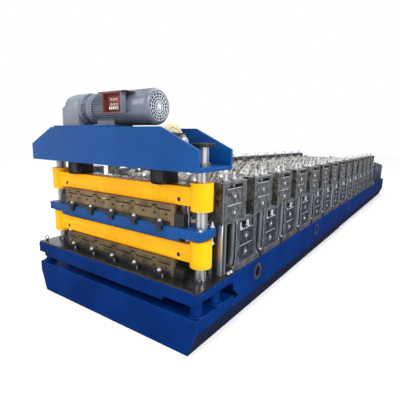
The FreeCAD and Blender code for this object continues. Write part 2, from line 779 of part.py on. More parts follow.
def head_cheek(name, start):
    """Chamfered plate of the crosshead."""
    cheek = body(name)
    half = "head_width / 2"
    corners = [("0 - " + half, "head_low"), (half, "head_low"), (half, "head_shoulder"),
               ("head_top_half", "head_high"), ("0 - head_top_half", "head_high"),
               ("0 - " + half, "head_shoulder")]
    face = outline(cheek, "CheekOutline", "XZ", start, corners)
    pad(cheek, "CheekThickness", face, "head_plate", True)
    return cheek


def window_corners(sign):
    """Opening of the crosshead floor around one crank block."""
    centre = sign + "crank_across"
    wide = "(block_width / 2 + window_gap)"
    deep = "(block_length / 2 + window_gap)"
    middle = along("column_back")
    return rectangle(("%s - %s" % (centre, wide), "%s - %s" % (middle, deep)),
                     ("%s + %s" % (centre, wide), "%s + %s" % (middle, deep)))


def head_floor():
    floor = body("HeadFloor")
    half = "head_width / 2"
    front = "(0 - overall_length / 2)"
    plan = outline(floor, "FloorPlan", "XY", "head_low", rectangle(
        ("0 - " + half, front + " + head_plate"), (half, front + " + head_depth - head_plate")))
    pad(floor, "FloorThickness", plan, "head_floor")
    openings = sketch(floor, "FloorOpenings", "XY", "head_low + head_floor")
    for sign in ("", "0 - "):
        add_loop(openings, polygon((sign + "column_across", along("column_back")), HOLE_CORNERS, 36))
        add_loop(openings, window_corners(sign))
    pocket(floor, "Openings", openings, "head_floor")
    return floor


def head_ribs():
    """Cross plates that carry the shaft bearings."""
    ribs = []
    front = "0 - overall_length / 2 + head_plate"
    for place in ("bearing_inner", "bearing_outer", "0 - bearing_inner", "0 - bearing_outer"):
        ribs.append(block("Rib", (place + " - head_plate / 2", front, "head_low + head_floor"),
                          ("head_plate", "head_depth - 2 * head_plate", "head_seat - head_low - head_floor")))
    return group("HeadRibs", ribs)


def motor_mount():
    """Plate across the crosshead under the motor, cut out for the reducer."""
    plate = body("MotorMount")
    front = "(0 - overall_length / 2)"
    plan = outline(plate, "MountPlan", "XY", "head_high", rectangle(
        ("0 - mount_left", front), ("motor_right", front + " + head_depth")))
    pad(plate, "MountThickness", plan, "mount_plate")
    deep = "(reducer_neck_radius + window_gap)"
    opening = outline(plate, "MountOpening", "XY", "head_high + mount_plate", rectangle(
        ("0 - reducer_neck_left - window_gap", along("column_back") + " - " + deep),
        ("window_gap - reducer_neck_right", along("column_back") + " + " + deep)))
    pocket(plate, "Opening", opening, "mount_plate")
    return plate


# Crank drive

def crank_shaft():
    axis = along("column_back")
    pieces = [rod("Shaft", ("0 - crank_left", axis, "crank_height"), "X", "crank_radius",
                  "crank_left + crank_right", 24)]
    for place in ("crank_across", "0 - crank_across"):
        pieces.append(rod("Eccentric", (place + " - eccentric_width / 2", axis,
                                        "crank_height + eccentric_throw"),
                          "X", "eccentric_radius", "eccentric_width", 24))
    return fused("CrankShaft", pieces)


def shaft_bearings():
    """Pillow blocks with a rounded cap on the crosshead's ribs."""
    blocks = body("ShaftBearings")
    half, axis = "bearing_length / 2", along("column_back")
    shoulder = "(crank_height + 10)"
    crown = "(bearing_length / 4)"
    made = []
    for place in ("bearing_inner", "bearing_outer", "0 - bearing_inner", "0 - bearing_outer"):
        drawing = outline(blocks, "BearingOutline", "YZ", place + " - bearing_width / 2", [
            (axis + " - " + half, "head_seat"),
            (axis + " + " + half, "head_seat"),
            (axis + " + " + half, "head_seat + 24"),
            (axis + " + " + crown + " + 12", shoulder),
            (axis + " + " + crown, "bearing_top"),
            (axis + " - " + crown, "bearing_top"),
            (axis + " - " + crown + " - 12", shoulder),
            (axis + " - " + half, "head_seat + 24"),
        ])
        add_loop(drawing, polygon((axis, "crank_height"), "crank_bore", 16))
        made.append(pad(blocks, "Bearing", drawing, "bearing_width"))
    blocks.Tip = made[-1]
    return blocks


def connecting_rods():
    """Rods on the eccentrics; the lower eye is long, so that the ram can be moved by itself."""
    axis = along("column_back")
    stroke = "2 * eccentric_throw"
    centre = "(crank_height + eccentric_throw)"
    made = []
    for place in ("crank_across", "0 - crank_across"):
        start = place + " - rod_thickness / 2"
        end = "rod_thickness"
        solid = [rod("BigEnd", (start, axis, centre), "X", "rod_big_radius", end, 24),
                 rod("SmallEndLow", (start, axis, "pin_height - %s" % stroke), "X", "rod_small_radius",
                     end, 16),
                 block("EyeSides", (start, axis + " - rod_small_radius", "pin_height - %s" % stroke),
                       (end, "2 * rod_small_radius", stroke + " + rod_small_radius")),
                 block("Shank", (start, axis + " - rod_shank / 2", "pin_height"),
                       (end, "rod_shank", centre + " - pin_height"))]
        eye = "pin_radius + rod_fit"
        holes = [rod("BigEye", (start, axis, centre), "X", "eccentric_radius + rod_fit", end, 24),
                 rod("EyeTop", (start, axis, "pin_height"), "X", eye, end, 16),
                 rod("EyeLow", (start, axis, "pin_height - %s" % stroke), "X", eye, end, 16),
                 block("EyeSlot", (start, axis + " - pin_radius - rod_fit", "pin_height - %s" % stroke),
                       (end, "2 * (%s)" % eye, stroke))]
        made.append(cut("ConnectingRod", fused("RodSolid", solid), fused("RodHoles", holes)))
    return group("ConnectingRods", made)


def crank_blocks():
    """Forked black blocks on the upper ram beam, with the crank pins."""
    axis = along("column_back")
    beam_top = "(upper_ram_low + ram_beam_rise + ram_beam_height)"
    made = []
    for place in ("crank_across", "0 - crank_across"):
        low = (place + " - block_width / 2", axis + " - block_length / 2", beam_top)
        cheeks = block("Cheeks", low, ("block_width", "block_length", "block_top - " + beam_top))
        slot = block("Slot", (place + " - block_gap / 2", axis + " - block_length / 2", beam_top),
                     ("block_gap", "block_length", "block_top - " + beam_top))
        pin = rod("CrankPin", (place + " - block_width / 2", axis, "pin_height"), "X", "pin_radius",
                  "block_width", 12)
        made.append(fused("CrankBlock", [cut("Fork", cheeks, slot), pin]))
    return group("CrankBlocks", made)


def brake():
    base = ("brake_across - brake_thickness / 2", along("column_back"), "crank_height")
    disc = rod("Disc", base, "X", "brake_radius", "brake_thickness", 36)
    bore = rod("DiscBore", base, "X", "crank_bore", "brake_thickness", 16)
    return cut("BrakeDisc", disc, bore)


def shaft_hub():
    return rod("ShaftHub", ("crank_right", along("column_back"), "crank_height"), "X",
               "hub_radius", "hub_length", 24)


# Gear motor

def gear_reducer():
    """Parallel-shaft unit: stepped case on the mount plate, output part down to the crankshaft."""
    axis, seat = along("column_back"), "(head_high + mount_plate)"
    width, neck = "(reducer_left - reducer_right)", "(reducer_neck_left - reducer_neck_right)"
    start, neck_start = "0 - reducer_left", "0 - reducer_neck_left"
    case = fused("ReducerCase", [
        rod("UpperEnd", (start, axis, "motor_height"), "X", "reducer_radius", width, 36),
        block("ReducerSides", (start, axis + " - reducer_radius", seat),
              (width, "2 * reducer_radius", "motor_height - " + seat)),
        rod("OutputEnd", (neck_start, axis, "crank_height"), "X", "reducer_neck_radius", neck, 36),
        block("OutputSides", (neck_start, axis + " - reducer_neck_radius", "crank_height"),
              (neck, "2 * reducer_neck_radius", seat + " - crank_height")),
    ])
    shoulder = body("ReducerShoulder")
    beyond = "(motor_height + 1.1 * reducer_radius)"
    step = outline(shoulder, "ShoulderOutline", "XZ", axis + " - 1.1 * reducer_radius", [
        ("0 - 1.1 * reducer_left", "shoulder_height"),
        ("0 - reducer_left", "shoulder_height"),
        ("shoulder_step - reducer_left", "shoulder_height + shoulder_slope"),
        ("shoulder_step - reducer_left", "shoulder_top"),
        ("2.5 * shoulder_step - reducer_left", beyond),
        ("0 - 1.1 * reducer_left", beyond),
    ])
    pad(shoulder, "ShoulderDepth", step, "2.2 * reducer_radius", True)
    bore = rod("OutputBore", (neck_start, axis, "crank_height"), "X", "crank_bore", neck, 16)
    return cut("GearReducer", case, fused("ReducerTools", [shoulder, bore]))


def motor_part(name, left, right, radius):
    base = (left, along("column_back"), "motor_height")
    return rod(name, base, "X", radius, "%s - (%s)" % (right, left), 36)


def motor_body():
    """Motor frame with its foot on the mount plate and a neck for the terminal box."""
    frame = motor_part("MotorFrame", "0 - flange_right", "motor_right", "motor_radius")
    foot = block("MotorFoot", ("0 - flange_right + 20", along("column_back") + " - motor_radius * 0.7",
                               "head_high + mount_plate"),
                 ("motor_right + flange_right - 40", "motor_radius * 1.4",
                  "motor_height - motor_radius * 0.7 - head_high - mount_plate"))
    neck = block("TerminalNeck", ("terminal_left + terminal_wall", along("terminal_back"), "terminal_low + 24"),
                 ("terminal_neck", "column_back - terminal_back - motor_radius * 0.7",
                  "terminal_high - terminal_low - 60"))
    return fused("MotorBody", [frame, foot, neck])


def terminal_box():
    box = body("TerminalBox")
    case = outline(box, "BoxOutline", "XZ", along("terminal_front"), rectangle(
        ("terminal_left", "terminal_low"), ("terminal_right", "terminal_high")))
    pad(box, "BoxDepth", case, "terminal_back - terminal_front", True)
    inside = outline(box, "InsideOutline", "XZ", along("terminal_front"), rectangle(
        ("terminal_left + terminal_wall", "terminal_low + terminal_wall"),
        ("terminal_right - terminal_wall", "terminal_high - terminal_wall")))
    pocket(box, "Inside", inside, "terminal_back - terminal_front - terminal_wall")
    return box


def cover_plate():
    """Thin cover lying on the terminal box."""
    return block("CoverPlate", ("0 - cover_left", along("terminal_front"), "terminal_high"),
                 ("cover_left + cover_right", "cover_back - terminal_front", "cover_thickness"))


# Ram

def ram_beam(name, low):
    """Beam with a round boss on each guide column."""
    bottom = "(%s + ram_beam_rise)" % low
    pieces = [block("Beam", ("0 - column_across", along("ram_beam_front"), bottom),
                    ("2 * column_across", "ram_beam_depth", "ram_beam_height"))]
    tools = []
    for side in ("column_across", "0 - column_across"):
        base = (side, along("column_back"), low)
        pieces.append(rod("Boss", base, "Z", "boss_radius", "boss_height", 36))
        tools.append(rod("Bore", base, "Z", "column_radius + sliding_fit", "boss_height", 36))
    for side in ("beam_hole_across", "0 - beam_hole_across"):
        tools.append(rod("Recess", (side, along("ram_beam_front"),
                                    bottom + " + ram_beam_height - beam_hole_drop"),
                         "Y", "beam_hole_radius", "beam_hole_depth"))
    return cut(name, fused("RamCasting", pieces), fused("RamTools", tools))


def tie_rods():
    """Round bars that make the two ram beams move as one."""
    low = "(lower_ram_low + ram_beam_rise + ram_beam_height)"
    high = "(upper_ram_low + ram_beam_rise)"
    bars = [rod("TieRod", (side, along("column_back"), low), "Z", "tie_radius", "%s - %s" % (high, low), 12)
            for side in ("tie_across", "0 - tie_across")]
    return group("TieRods", bars)


def profile_edge(edge):
    """The sheet's cross-section along a knife, from left to right, as corner points."""
    corners = []
    count = int(number("rib_count"))
    for index in range(count):
        centre = "(%g * rib_pitch)" % (index - (count - 1) / 2)
        corners += [
            (centre + " - rib_foot / 2", edge),
            (centre + " - rib_crown / 2", edge + " + rib_height"),
            (centre + " + rib_crown / 2", edge + " + rib_height"),
            (centre + " + rib_foot / 2", edge),
        ]
    return corners


def fixed_knife(name, edge, seat, ram_low):
    """A plate with a slot in the shape of the sheet's cross-section."""
    plate = body(name)
    top = "(%s + ram_beam_rise - knife_top_gap)" % ram_low
    slot_end = "(knife_half - knife_slot_end)"
    above = edge + " + knife_slot"
    face = outline(plate, "KnifeOutline", "XZ", along(FIXED_KNIFE_FRONT), rectangle(
        ("0 - knife_half", seat), ("knife_half", top)))
    slot = [("0 - " + slot_end, edge)] + profile_edge(edge) + [(slot_end, edge), (slot_end, above)]
    add_loop(face, slot + profile_edge(above)[::-1] + [("0 - " + slot_end, above)])
    pad(plate, "KnifeThickness", face, "knife_thickness", True)
    return plate


def moving_knife(name, edge, ram_low):
    """A knife under a ram beam, with the sheet's cross-section as its edge."""
    plate = body(name)
    opened = "(%s + knife_open)" % edge
    top = "(%s + ram_beam_rise)" % ram_low
    half = "moving_knife_half"
    corners = [("0 - " + half, top), ("0 - " + half, opened)] + profile_edge(opened)
    face = outline(plate, "KnifeOutline", "XZ", along("ram_beam_front"), corners + [(half, opened), (half, top)])
    pad(plate, "KnifeThickness", face, "knife_thickness", True)
    return plate


def knife_posts():
    """Posts that hold the ends of the fixed knives."""
    start = along(FIXED_KNIFE_FRONT)
    posts = []
    for seat, edge in (("middle_high", "upper_edge"), ("table_top", LOWER_EDGE)):
        height = "%s - 12 - %s" % (edge, seat)
        for left in ("knife_half", "0 - knife_half - post_width"):
            posts.append(block("Post", (left, start, seat), ("post_width", "post_depth", height)))
    return group("KnifePosts", posts)


def knife_clamps():
    """Clamps that press on the fixed knives: hooked over the middle beam, and flat on the table."""
    clamps = body("KnifeClamps")
    first = "(0 - (clamp_count - 1) / 2 * clamp_pitch)"
    hook = outline(clamps, "HookOutline", "YZ", first + " - clamp_width / 2", [
        (along("middle_front - clamp_overhang"), "middle_high - hook_drop"),
        (along("middle_front"), "middle_high - hook_drop"),
        (along("middle_front"), "middle_high"),
        (along(FIXED_KNIFE_FRONT), "middle_high"),
        (along(FIXED_KNIFE_FRONT), "middle_high + hook_rise"),
        (along("middle_front - clamp_overhang"), "middle_high + hook_rise"),
    ])
    flat = outline(clamps, "FlatOutline", "YZ", first + " - clamp_width / 2", rectangle(
        (along(FIXED_KNIFE_FRONT + " - clamp_length"), "table_top"),
        (along(FIXED_KNIFE_FRONT), "table_top + clamp_height")))
    made = [pad(clamps, "Hook", hook, "clamp_width"), pad(clamps, "Flat", flat, "clamp_width")]
    repeat(clamps, "ClampRow", made, "X", "clamp_pitch", "clamp_count")
    return clamps


# Infeed

def infeed_side():
    """Side plate with a falling top edge and upright ribs."""
    side = body("InfeedSide")
    start, end = along("infeed_start"), along("infeed_start + infeed_length")
    face = outline(side, "SideOutline", "YZ", "infeed_across - infeed_plate", [
        (start, "rail_top"), (end, "rail_top"), (end, "infeed_back_top"), (start, "infeed_front_top")])
    pad(side, "SideThickness", face, "infeed_plate")
    drop = "(infeed_front_top - infeed_back_top)"
    made = []
    for index in range(int(number("infeed_rib_count"))):
        share = "%g" % ((index + 0.5) / int(number("infeed_rib_count")))
        place = "%s * infeed_length" % share
        top = "infeed_front_top - %s * (%s + infeed_rib / infeed_length)" % (drop, share)
        rib = outline(side, "RibOutline", "YZ", "infeed_across", rectangle(
            (start + " + " + place, "rail_top"), (start + " + " + place + " + infeed_rib", top)))
        made.append(pad(side, "Rib", rib, "infeed_rib"))
    side.Tip = made[-1]
    return side


def infeed_tables():
    """Table sheets of the two levels, between the side plates."""
    reach = "(infeed_across - infeed_plate)"
    sheets = [block("TableSheet", ("0 - " + reach, along("infeed_start + infeed_table_inset"),
                                   level + " - infeed_table"),
                    ("2 * " + reach, "infeed_length - 2 * infeed_table_inset", "infeed_table"))
              for level in ("infeed_lower_level", "infeed_upper_level")]
    return group("InfeedTables", sheets)


def infeed_rollers():
    reach = "(infeed_across - infeed_plate)"
    bars = []
    for level in ("infeed_lower_level", "infeed_upper_level"):
        for place in ("infeed_table_inset / 2", "infeed_length - infeed_table_inset / 2"):
            bars.append(rod("Roller", ("0 - " + reach, along("infeed_start + " + place),
                                       level + " - infeed_roller + 4"),
                            "X", "infeed_roller", "2 * " + reach, 16))
    return group("InfeedRollers", bars)


# The fixed knives stand in front of the ram, which passes behind them
HOLE_CORNERS = "(column_radius + fixed_fit)"
FIXED_KNIFE_FRONT = "(ram_beam_front - knife_gap - knife_thickness)"
# The lower knives stand as far under the lower ram as the upper ones under the upper ram
LOWER_EDGE = "(upper_edge - upper_ram_low + lower_ram_low)"
UPPER_FIRST = "(station_first - row_stagger)"


def both_sides(label, right):
    """A sub-part for the right side and its mirror image for the left side."""
    keep(right, label + "_right")
    keep(mirrored("Mirror_" + label, right), label + "_left")


def pair(label, right):
    """A sub-part made of a piece on the right side and its mirror image."""
    keep(group("Pair_" + label, [right, mirrored("Mirror_" + label, right)]), label)


def build():
    both_sides("front_rail", front_rail())
    both_sides("rear_rail", rear_rail())
    keep(rear_end_plate(), "rear_end_plate")
    keep(cross_members(), "cross_members")
    keep(shear_base_box(), "shear_base_box")
    pair("stand_pads", stand_pads())
    both_sides("lower_stand_frames", stand_frames(
        "LowerFrames", "station_first", "pad_top", "lower_stand_top", "", True))
    both_sides("upper_stand_frames", stand_frames(
        "UpperFrames", UPPER_FIRST, "lower_stand_top", "upper_stand_top", "stand_sill", False))
    pair("lower_chocks", chocks("LowerChocks", "station_first", "pad_top", "chock_height"))
    pair("upper_chocks", chocks("UpperChocks", UPPER_FIRST, "lower_stand_top + stand_sill",
                                "upper_chock_height"))
    pair("adjusting_screws", adjusting_screws())
    keep(front_posts(), "front_posts")
    keep(rolls("LowerBottomRolls", "station_first", "lower_shaft"), "lower_bottom_rolls")
    keep(rolls("LowerTopRolls", "station_first", "lower_shaft + shaft_spacing"), "lower_top_rolls")
    keep(rolls("UpperBottomRolls", UPPER_FIRST, "upper_shaft"), "upper_bottom_rolls")
    keep(rolls("UpperTopRolls", UPPER_FIRST, "upper_shaft + shaft_spacing"), "upper_top_rolls")
    keep(shear_table_frame(), "shear_table_frame")
    keep(shear_table_plate(), "shear_table_plate")
    keep(table_legs(), "table_legs")
    pair("guide_columns", guide_column())
    keep(column_caps(), "column_caps")
    keep(middle_beam(), "middle_beam")
    front = "0 - overall_length / 2"
    keep(head_cheek("HeadFront", front), "crosshead_front_plate")
    keep(head_cheek("HeadRear", front + " + head_depth - head_plate"), "crosshead_rear_plate")
    keep(head_floor(), "crosshead_floor")
    keep(head_ribs(), "crosshead_ribs")
    keep(motor_mount(), "motor_mount_plate")
    keep(crank_shaft(), "crank_shaft")
    keep(shaft_bearings(), "shaft_bearings")
    keep(connecting_rods(), "connecting_rods")
    keep(brake(), "brake_disc")
    keep(shaft_hub(), "shaft_hub")
    keep(gear_reducer(), "gear_reducer")
    keep(motor_part("MotorFlange", "0 - reducer_right", "0 - flange_right", "flange_radius"), "motor_flange")
    keep(motor_body(), "motor_body")
    keep(motor_part("FanCowl", "motor_right", "cowl_right", "cowl_radius"), "fan_cowl")
    keep(terminal_box(), "terminal_box")
    keep(cover_plate(), "motor_cover_plate")
    keep(fixed_knife("UpperFixedKnife", "upper_edge", "middle_high", "upper_ram_low"), "upper_fixed_knife")
    keep(fixed_knife("LowerFixedKnife", LOWER_EDGE, "table_top", "lower_ram_low"), "lower_fixed_knife")
    keep(knife_posts(), "knife_posts")
    keep(knife_clamps(), "knife_clamps")
    keep(ram_beam("UpperRam", "upper_ram_low"), "upper_ram_beam")
    keep(ram_beam("LowerRam", "lower_ram_low"), "lower_ram_beam")
    keep(moving_knife("UpperMovingKnife", "upper_edge", "upper_ram_low"), "upper_moving_knife")
    keep(moving_knife("LowerMovingKnife", LOWER_EDGE, "lower_ram_low"), "lower_moving_knife")
    keep(crank_blocks(), "crank_blocks")
    keep(tie_rods(), "ram_tie_rods")
    both_sides("infeed_side", infeed_side())
    keep(infeed_tables(), "infeed_tables")
    keep(infeed_rollers(), "infeed_rollers")


def check():
    """Stop if any object failed, or if a sub-part is empty or not valid."""
    for thing in document.Objects:
        if "Invalid" in thing.State or "Error" in thing.State:
            raise SystemExit("failed: %s %s" % (thing.Name, thing.State))
    for thing in subparts:
        if thing.Shape.isNull() or not thing.Shape.isValid() or not thing.Shape.Solids:
            raise SystemExit("not a valid solid: " + thing.Label)


build()
document.recompute()
check()
os.makedirs("parts", exist_ok=True)
for part in subparts:
    part.Shape.exportStep(os.path.join("parts", part.Label + ".step"))
print("%d sub-parts, %d solids" % (len(subparts), sum(len(part.Shape.Solids) for part in subparts)))
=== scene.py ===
"""Double-layer roll forming machine with a crank-driven profile shear at its exit end.

Metres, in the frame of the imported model: X across the machine, -Y the shear end, Z up.
"""

from math import cos, pi, radians, sin

import bpy
from mathutils import Matrix, Vector


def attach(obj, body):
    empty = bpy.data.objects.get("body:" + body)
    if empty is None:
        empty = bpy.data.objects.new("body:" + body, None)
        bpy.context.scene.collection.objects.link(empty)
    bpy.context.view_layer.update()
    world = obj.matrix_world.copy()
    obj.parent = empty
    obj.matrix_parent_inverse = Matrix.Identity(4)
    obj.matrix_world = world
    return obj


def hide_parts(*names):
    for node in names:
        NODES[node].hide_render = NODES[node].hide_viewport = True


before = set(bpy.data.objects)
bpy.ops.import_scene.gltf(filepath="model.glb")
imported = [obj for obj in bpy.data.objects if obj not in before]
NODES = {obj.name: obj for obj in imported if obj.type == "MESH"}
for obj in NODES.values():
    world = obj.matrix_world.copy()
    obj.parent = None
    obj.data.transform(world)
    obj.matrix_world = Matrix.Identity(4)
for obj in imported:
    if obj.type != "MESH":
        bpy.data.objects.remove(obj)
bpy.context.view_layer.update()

FRAME, RAM = "frame", "shear_ram"
STATIONS, PITCH = 14, 0.511
LOWER_FIRST, UPPER_FIRST = -4.010, -4.225
TABLE_FRONT, TABLE_TOP, MIDDLE_TOP = -4.740, 0.490, 0.877
BLOCK_FACE, KNIFE_FACE, BEAM_FACE = TABLE_FRONT + 0.1145, TABLE_FRONT + 0.118, TABLE_FRONT + 0.148
COLUMN_X, COLUMN_Y = 0.832, -4.537
CRANK_Y, CRANK_Z = -4.537, 1.480
MOTOR_Y, MOTOR_Z = -4.537, 1.728
RIB_PITCH = 0.230
SKIRT_TOP = 0.189
CHOCK_FACE = 0.921
LOWER_SHAFTS, UPPER_SHAFTS = (0.582, 0.714), (0.944, 1.076)
SCREW_SPAN = (-0.065, 0.065)
TURNS = {"X": (0, pi / 2, 0), "Y": (-pi / 2, 0, 0), "Z": (0, 0, 0)}
SHARP_ANGLE, ROUND_ANGLE, FLAT_ANGLE = radians(30), radians(38), radians(1)
EDGE_SOFTENING = 0.0015


# Hand tools

def only(*pieces):
    """Selects these pieces and nothing else; the last one is active."""
    bpy.ops.object.select_all(action="DESELECT")
    for piece in pieces:
        piece.select_set(True)
    bpy.context.view_layer.objects.active = pieces[-1]


def take(piece, kind, **settings):
    """Adds a modifier and applies it."""
    only(piece)
    modifier = piece.modifiers.new(kind.title(), kind)
    for setting, value in settings.items():
        setattr(modifier, setting, value)
    bpy.ops.object.modifier_apply(modifier=modifier.name)
    return piece


def settle(piece):
    """Puts the piece's place into its mesh."""
    only(piece)
    bpy.ops.object.transform_apply(location=True, rotation=True, scale=True)
    return piece


def joined(name, *pieces):
    """Makes the pieces one, under this name."""
    only(*pieces)
    if len(pieces) > 1:
        bpy.ops.object.join()
    piece = bpy.context.object
    piece.name = name
    return piece


def soften(piece, width, segments=1):
    """Bevels the sharp edges and smooths the round faces."""
    take(piece, "BEVEL", width=width, segments=segments, limit_method="ANGLE", angle_limit=SHARP_ANGLE,
         use_clamp_overlap=True)
    bpy.ops.object.shade_smooth_by_angle(angle=ROUND_ANGLE)
    return piece


def outwards(piece):
    """Merges doubles and turns the faces outwards."""
    only(piece)
    bpy.ops.object.mode_set(mode="EDIT")
    bpy.ops.mesh.select_all(action="SELECT")
    bpy.ops.mesh.remove_doubles(threshold=0.00001)
    bpy.ops.mesh.normals_make_consistent(inside=False)
    bpy.ops.object.mode_set(mode="OBJECT")
    return piece


def both_sides(piece):
    """Mirrors the piece to the machine's other side."""
    take(piece, "MIRROR", use_axis=(True, False, False), use_mirror_merge=False)
    return outwards(piece)


def block(name, low, high, width, segments=1):
    """A softened block between two corners."""
    low, high = Vector(low), Vector(high)
    bpy.ops.object.select_all(action="DESELECT")
    bpy.ops.mesh.primitive_cube_add(size=1, location=(low + high) / 2, scale=high - low)
    piece = bpy.context.object
    piece.name = name
    settle(piece)
    return soften(piece, width, segments) if width else piece


def rounded(piece, axis, radius):
    """Rounds the upper edges that run along an axis, then softens the rest."""
    number = "XYZ".index(axis)
    middle = sum(vertex.co.z for vertex in piece.data.vertices) / len(piece.data.vertices)
    only(piece)
    for edge in piece.data.edges:
        first, second = [piece.data.vertices[i].co for i in edge.vertices]
        run = (second - first).normalized()
        edge.select = abs(run[number]) > 0.99 and first.z > middle
    bpy.ops.object.mode_set(mode="EDIT")
    bpy.ops.mesh.select_mode(type="EDGE")
    bpy.ops.mesh.bevel(offset=radius, segments=5, affect="EDGES")
    bpy.ops.mesh.select_mode(type="VERT")
    bpy.ops.object.mode_set(mode="OBJECT")
    return soften(piece, EDGE_SOFTENING)


def turned(name, base, axis, profile, sides):
    """A piece turned round the axis through base, from (distance, radius) pairs."""
    distance, radius = profile[0]
    bpy.ops.object.select_all(action="DESELECT")
    bpy.ops.mesh.primitive_circle_add(vertices=sides, radius=radius, fill_type="NGON", location=(0, 0, 0))
    piece = bpy.context.object
    piece.name = name
    bpy.ops.object.mode_set(mode="EDIT")
    bpy.ops.mesh.select_all(action="SELECT")
    bpy.ops.transform.translate(value=(0, 0, distance))
    for next_distance, next_radius in profile[1:]:
        bpy.ops.mesh.extrude_region_move(
            TRANSFORM_OT_translate={"value": (0, 0, next_distance - distance)})
        ratio = next_radius / radius
        bpy.ops.transform.resize(value=(ratio, ratio, 1), center_override=(0, 0, next_distance))
        distance, radius = next_distance, next_radius
    bpy.ops.mesh.select_all(action="SELECT")
    bpy.ops.mesh.normals_make_consistent(inside=False)
    bpy.ops.object.mode_set(mode="OBJECT")
    piece.rotation_euler = TURNS[axis]
    piece.location = base
    settle(piece)
    bpy.ops.object.shade_smooth_by_angle(angle=SHARP_ANGLE)
    return piece


def wire_ring(radius, thick, segments, place, turn):
    """A ring of round bar, with its segments round the ring and round the bar."""
    bpy.ops.object.select_all(action="DESELECT")
    bpy.ops.mesh.primitive_torus_add(major_radius=radius, minor_radius=thick, major_segments=segments[0],
                                     minor_segments=segments[1], location=place, rotation=turn)
    return settle(bpy.context.object)


def spread(piece, places):
    """Copies of the piece, each with its own mesh, moved to the places and made one piece."""
    twins = []
    for place in places:
        twin = piece.copy()
        twin.data = piece.data.copy()
        twin.location = place
        bpy.context.collection.objects.link(twin)
        twins.append(twin)
    name = piece.name
    bpy.data.objects.remove(piece)
    piece = joined(name, *twins)
    piece.name = name
    return settle(piece)


def ringed(piece, count, centre, axis):
    """Copies of the piece turned evenly round an axis through centre."""
    twins = [piece]
    for number in range(1, count):
        twin = piece.copy()
        twin.data = piece.data.copy()
        bpy.context.collection.objects.link(twin)
        only(twin)
        bpy.ops.object.mode_set(mode="EDIT")
        bpy.ops.mesh.select_all(action="SELECT")
        bpy.ops.transform.rotate(value=2 * pi * number / count, orient_axis=axis, orient_type="GLOBAL",
                                 center_override=centre)
        bpy.ops.object.mode_set(mode="OBJECT")
        twins.append(twin)
    return joined(piece.name, *twins)


def dressed(node, width, segments):
    """A copy of a CAD node with merged faces and softened edges."""
    source = NODES[node]
    piece = bpy.data.objects.new(node + "_finished", source.data.copy())
    bpy.context.collection.objects.link(piece)
    only(piece)
    piece.data.materials.clear()
    bpy.ops.object.mode_set(mode="EDIT")
    bpy.ops.mesh.select_all(action="SELECT")
    bpy.ops.mesh.remove_doubles(threshold=0.00002)
    bpy.ops.mesh.dissolve_limited(angle_limit=FLAT_ANGLE)
    bpy.ops.object.mode_set(mode="OBJECT")
    return soften(piece, width, segments)


def tone(colour):
    """Linear colour from a 0-255 screen colour."""
    return tuple(
        (c / 255 / 12.92) if c <= 10 else ((c / 255 + 0.055) / 1.055) ** 2.4 for c in colour) + (1.0,)


# Finishes

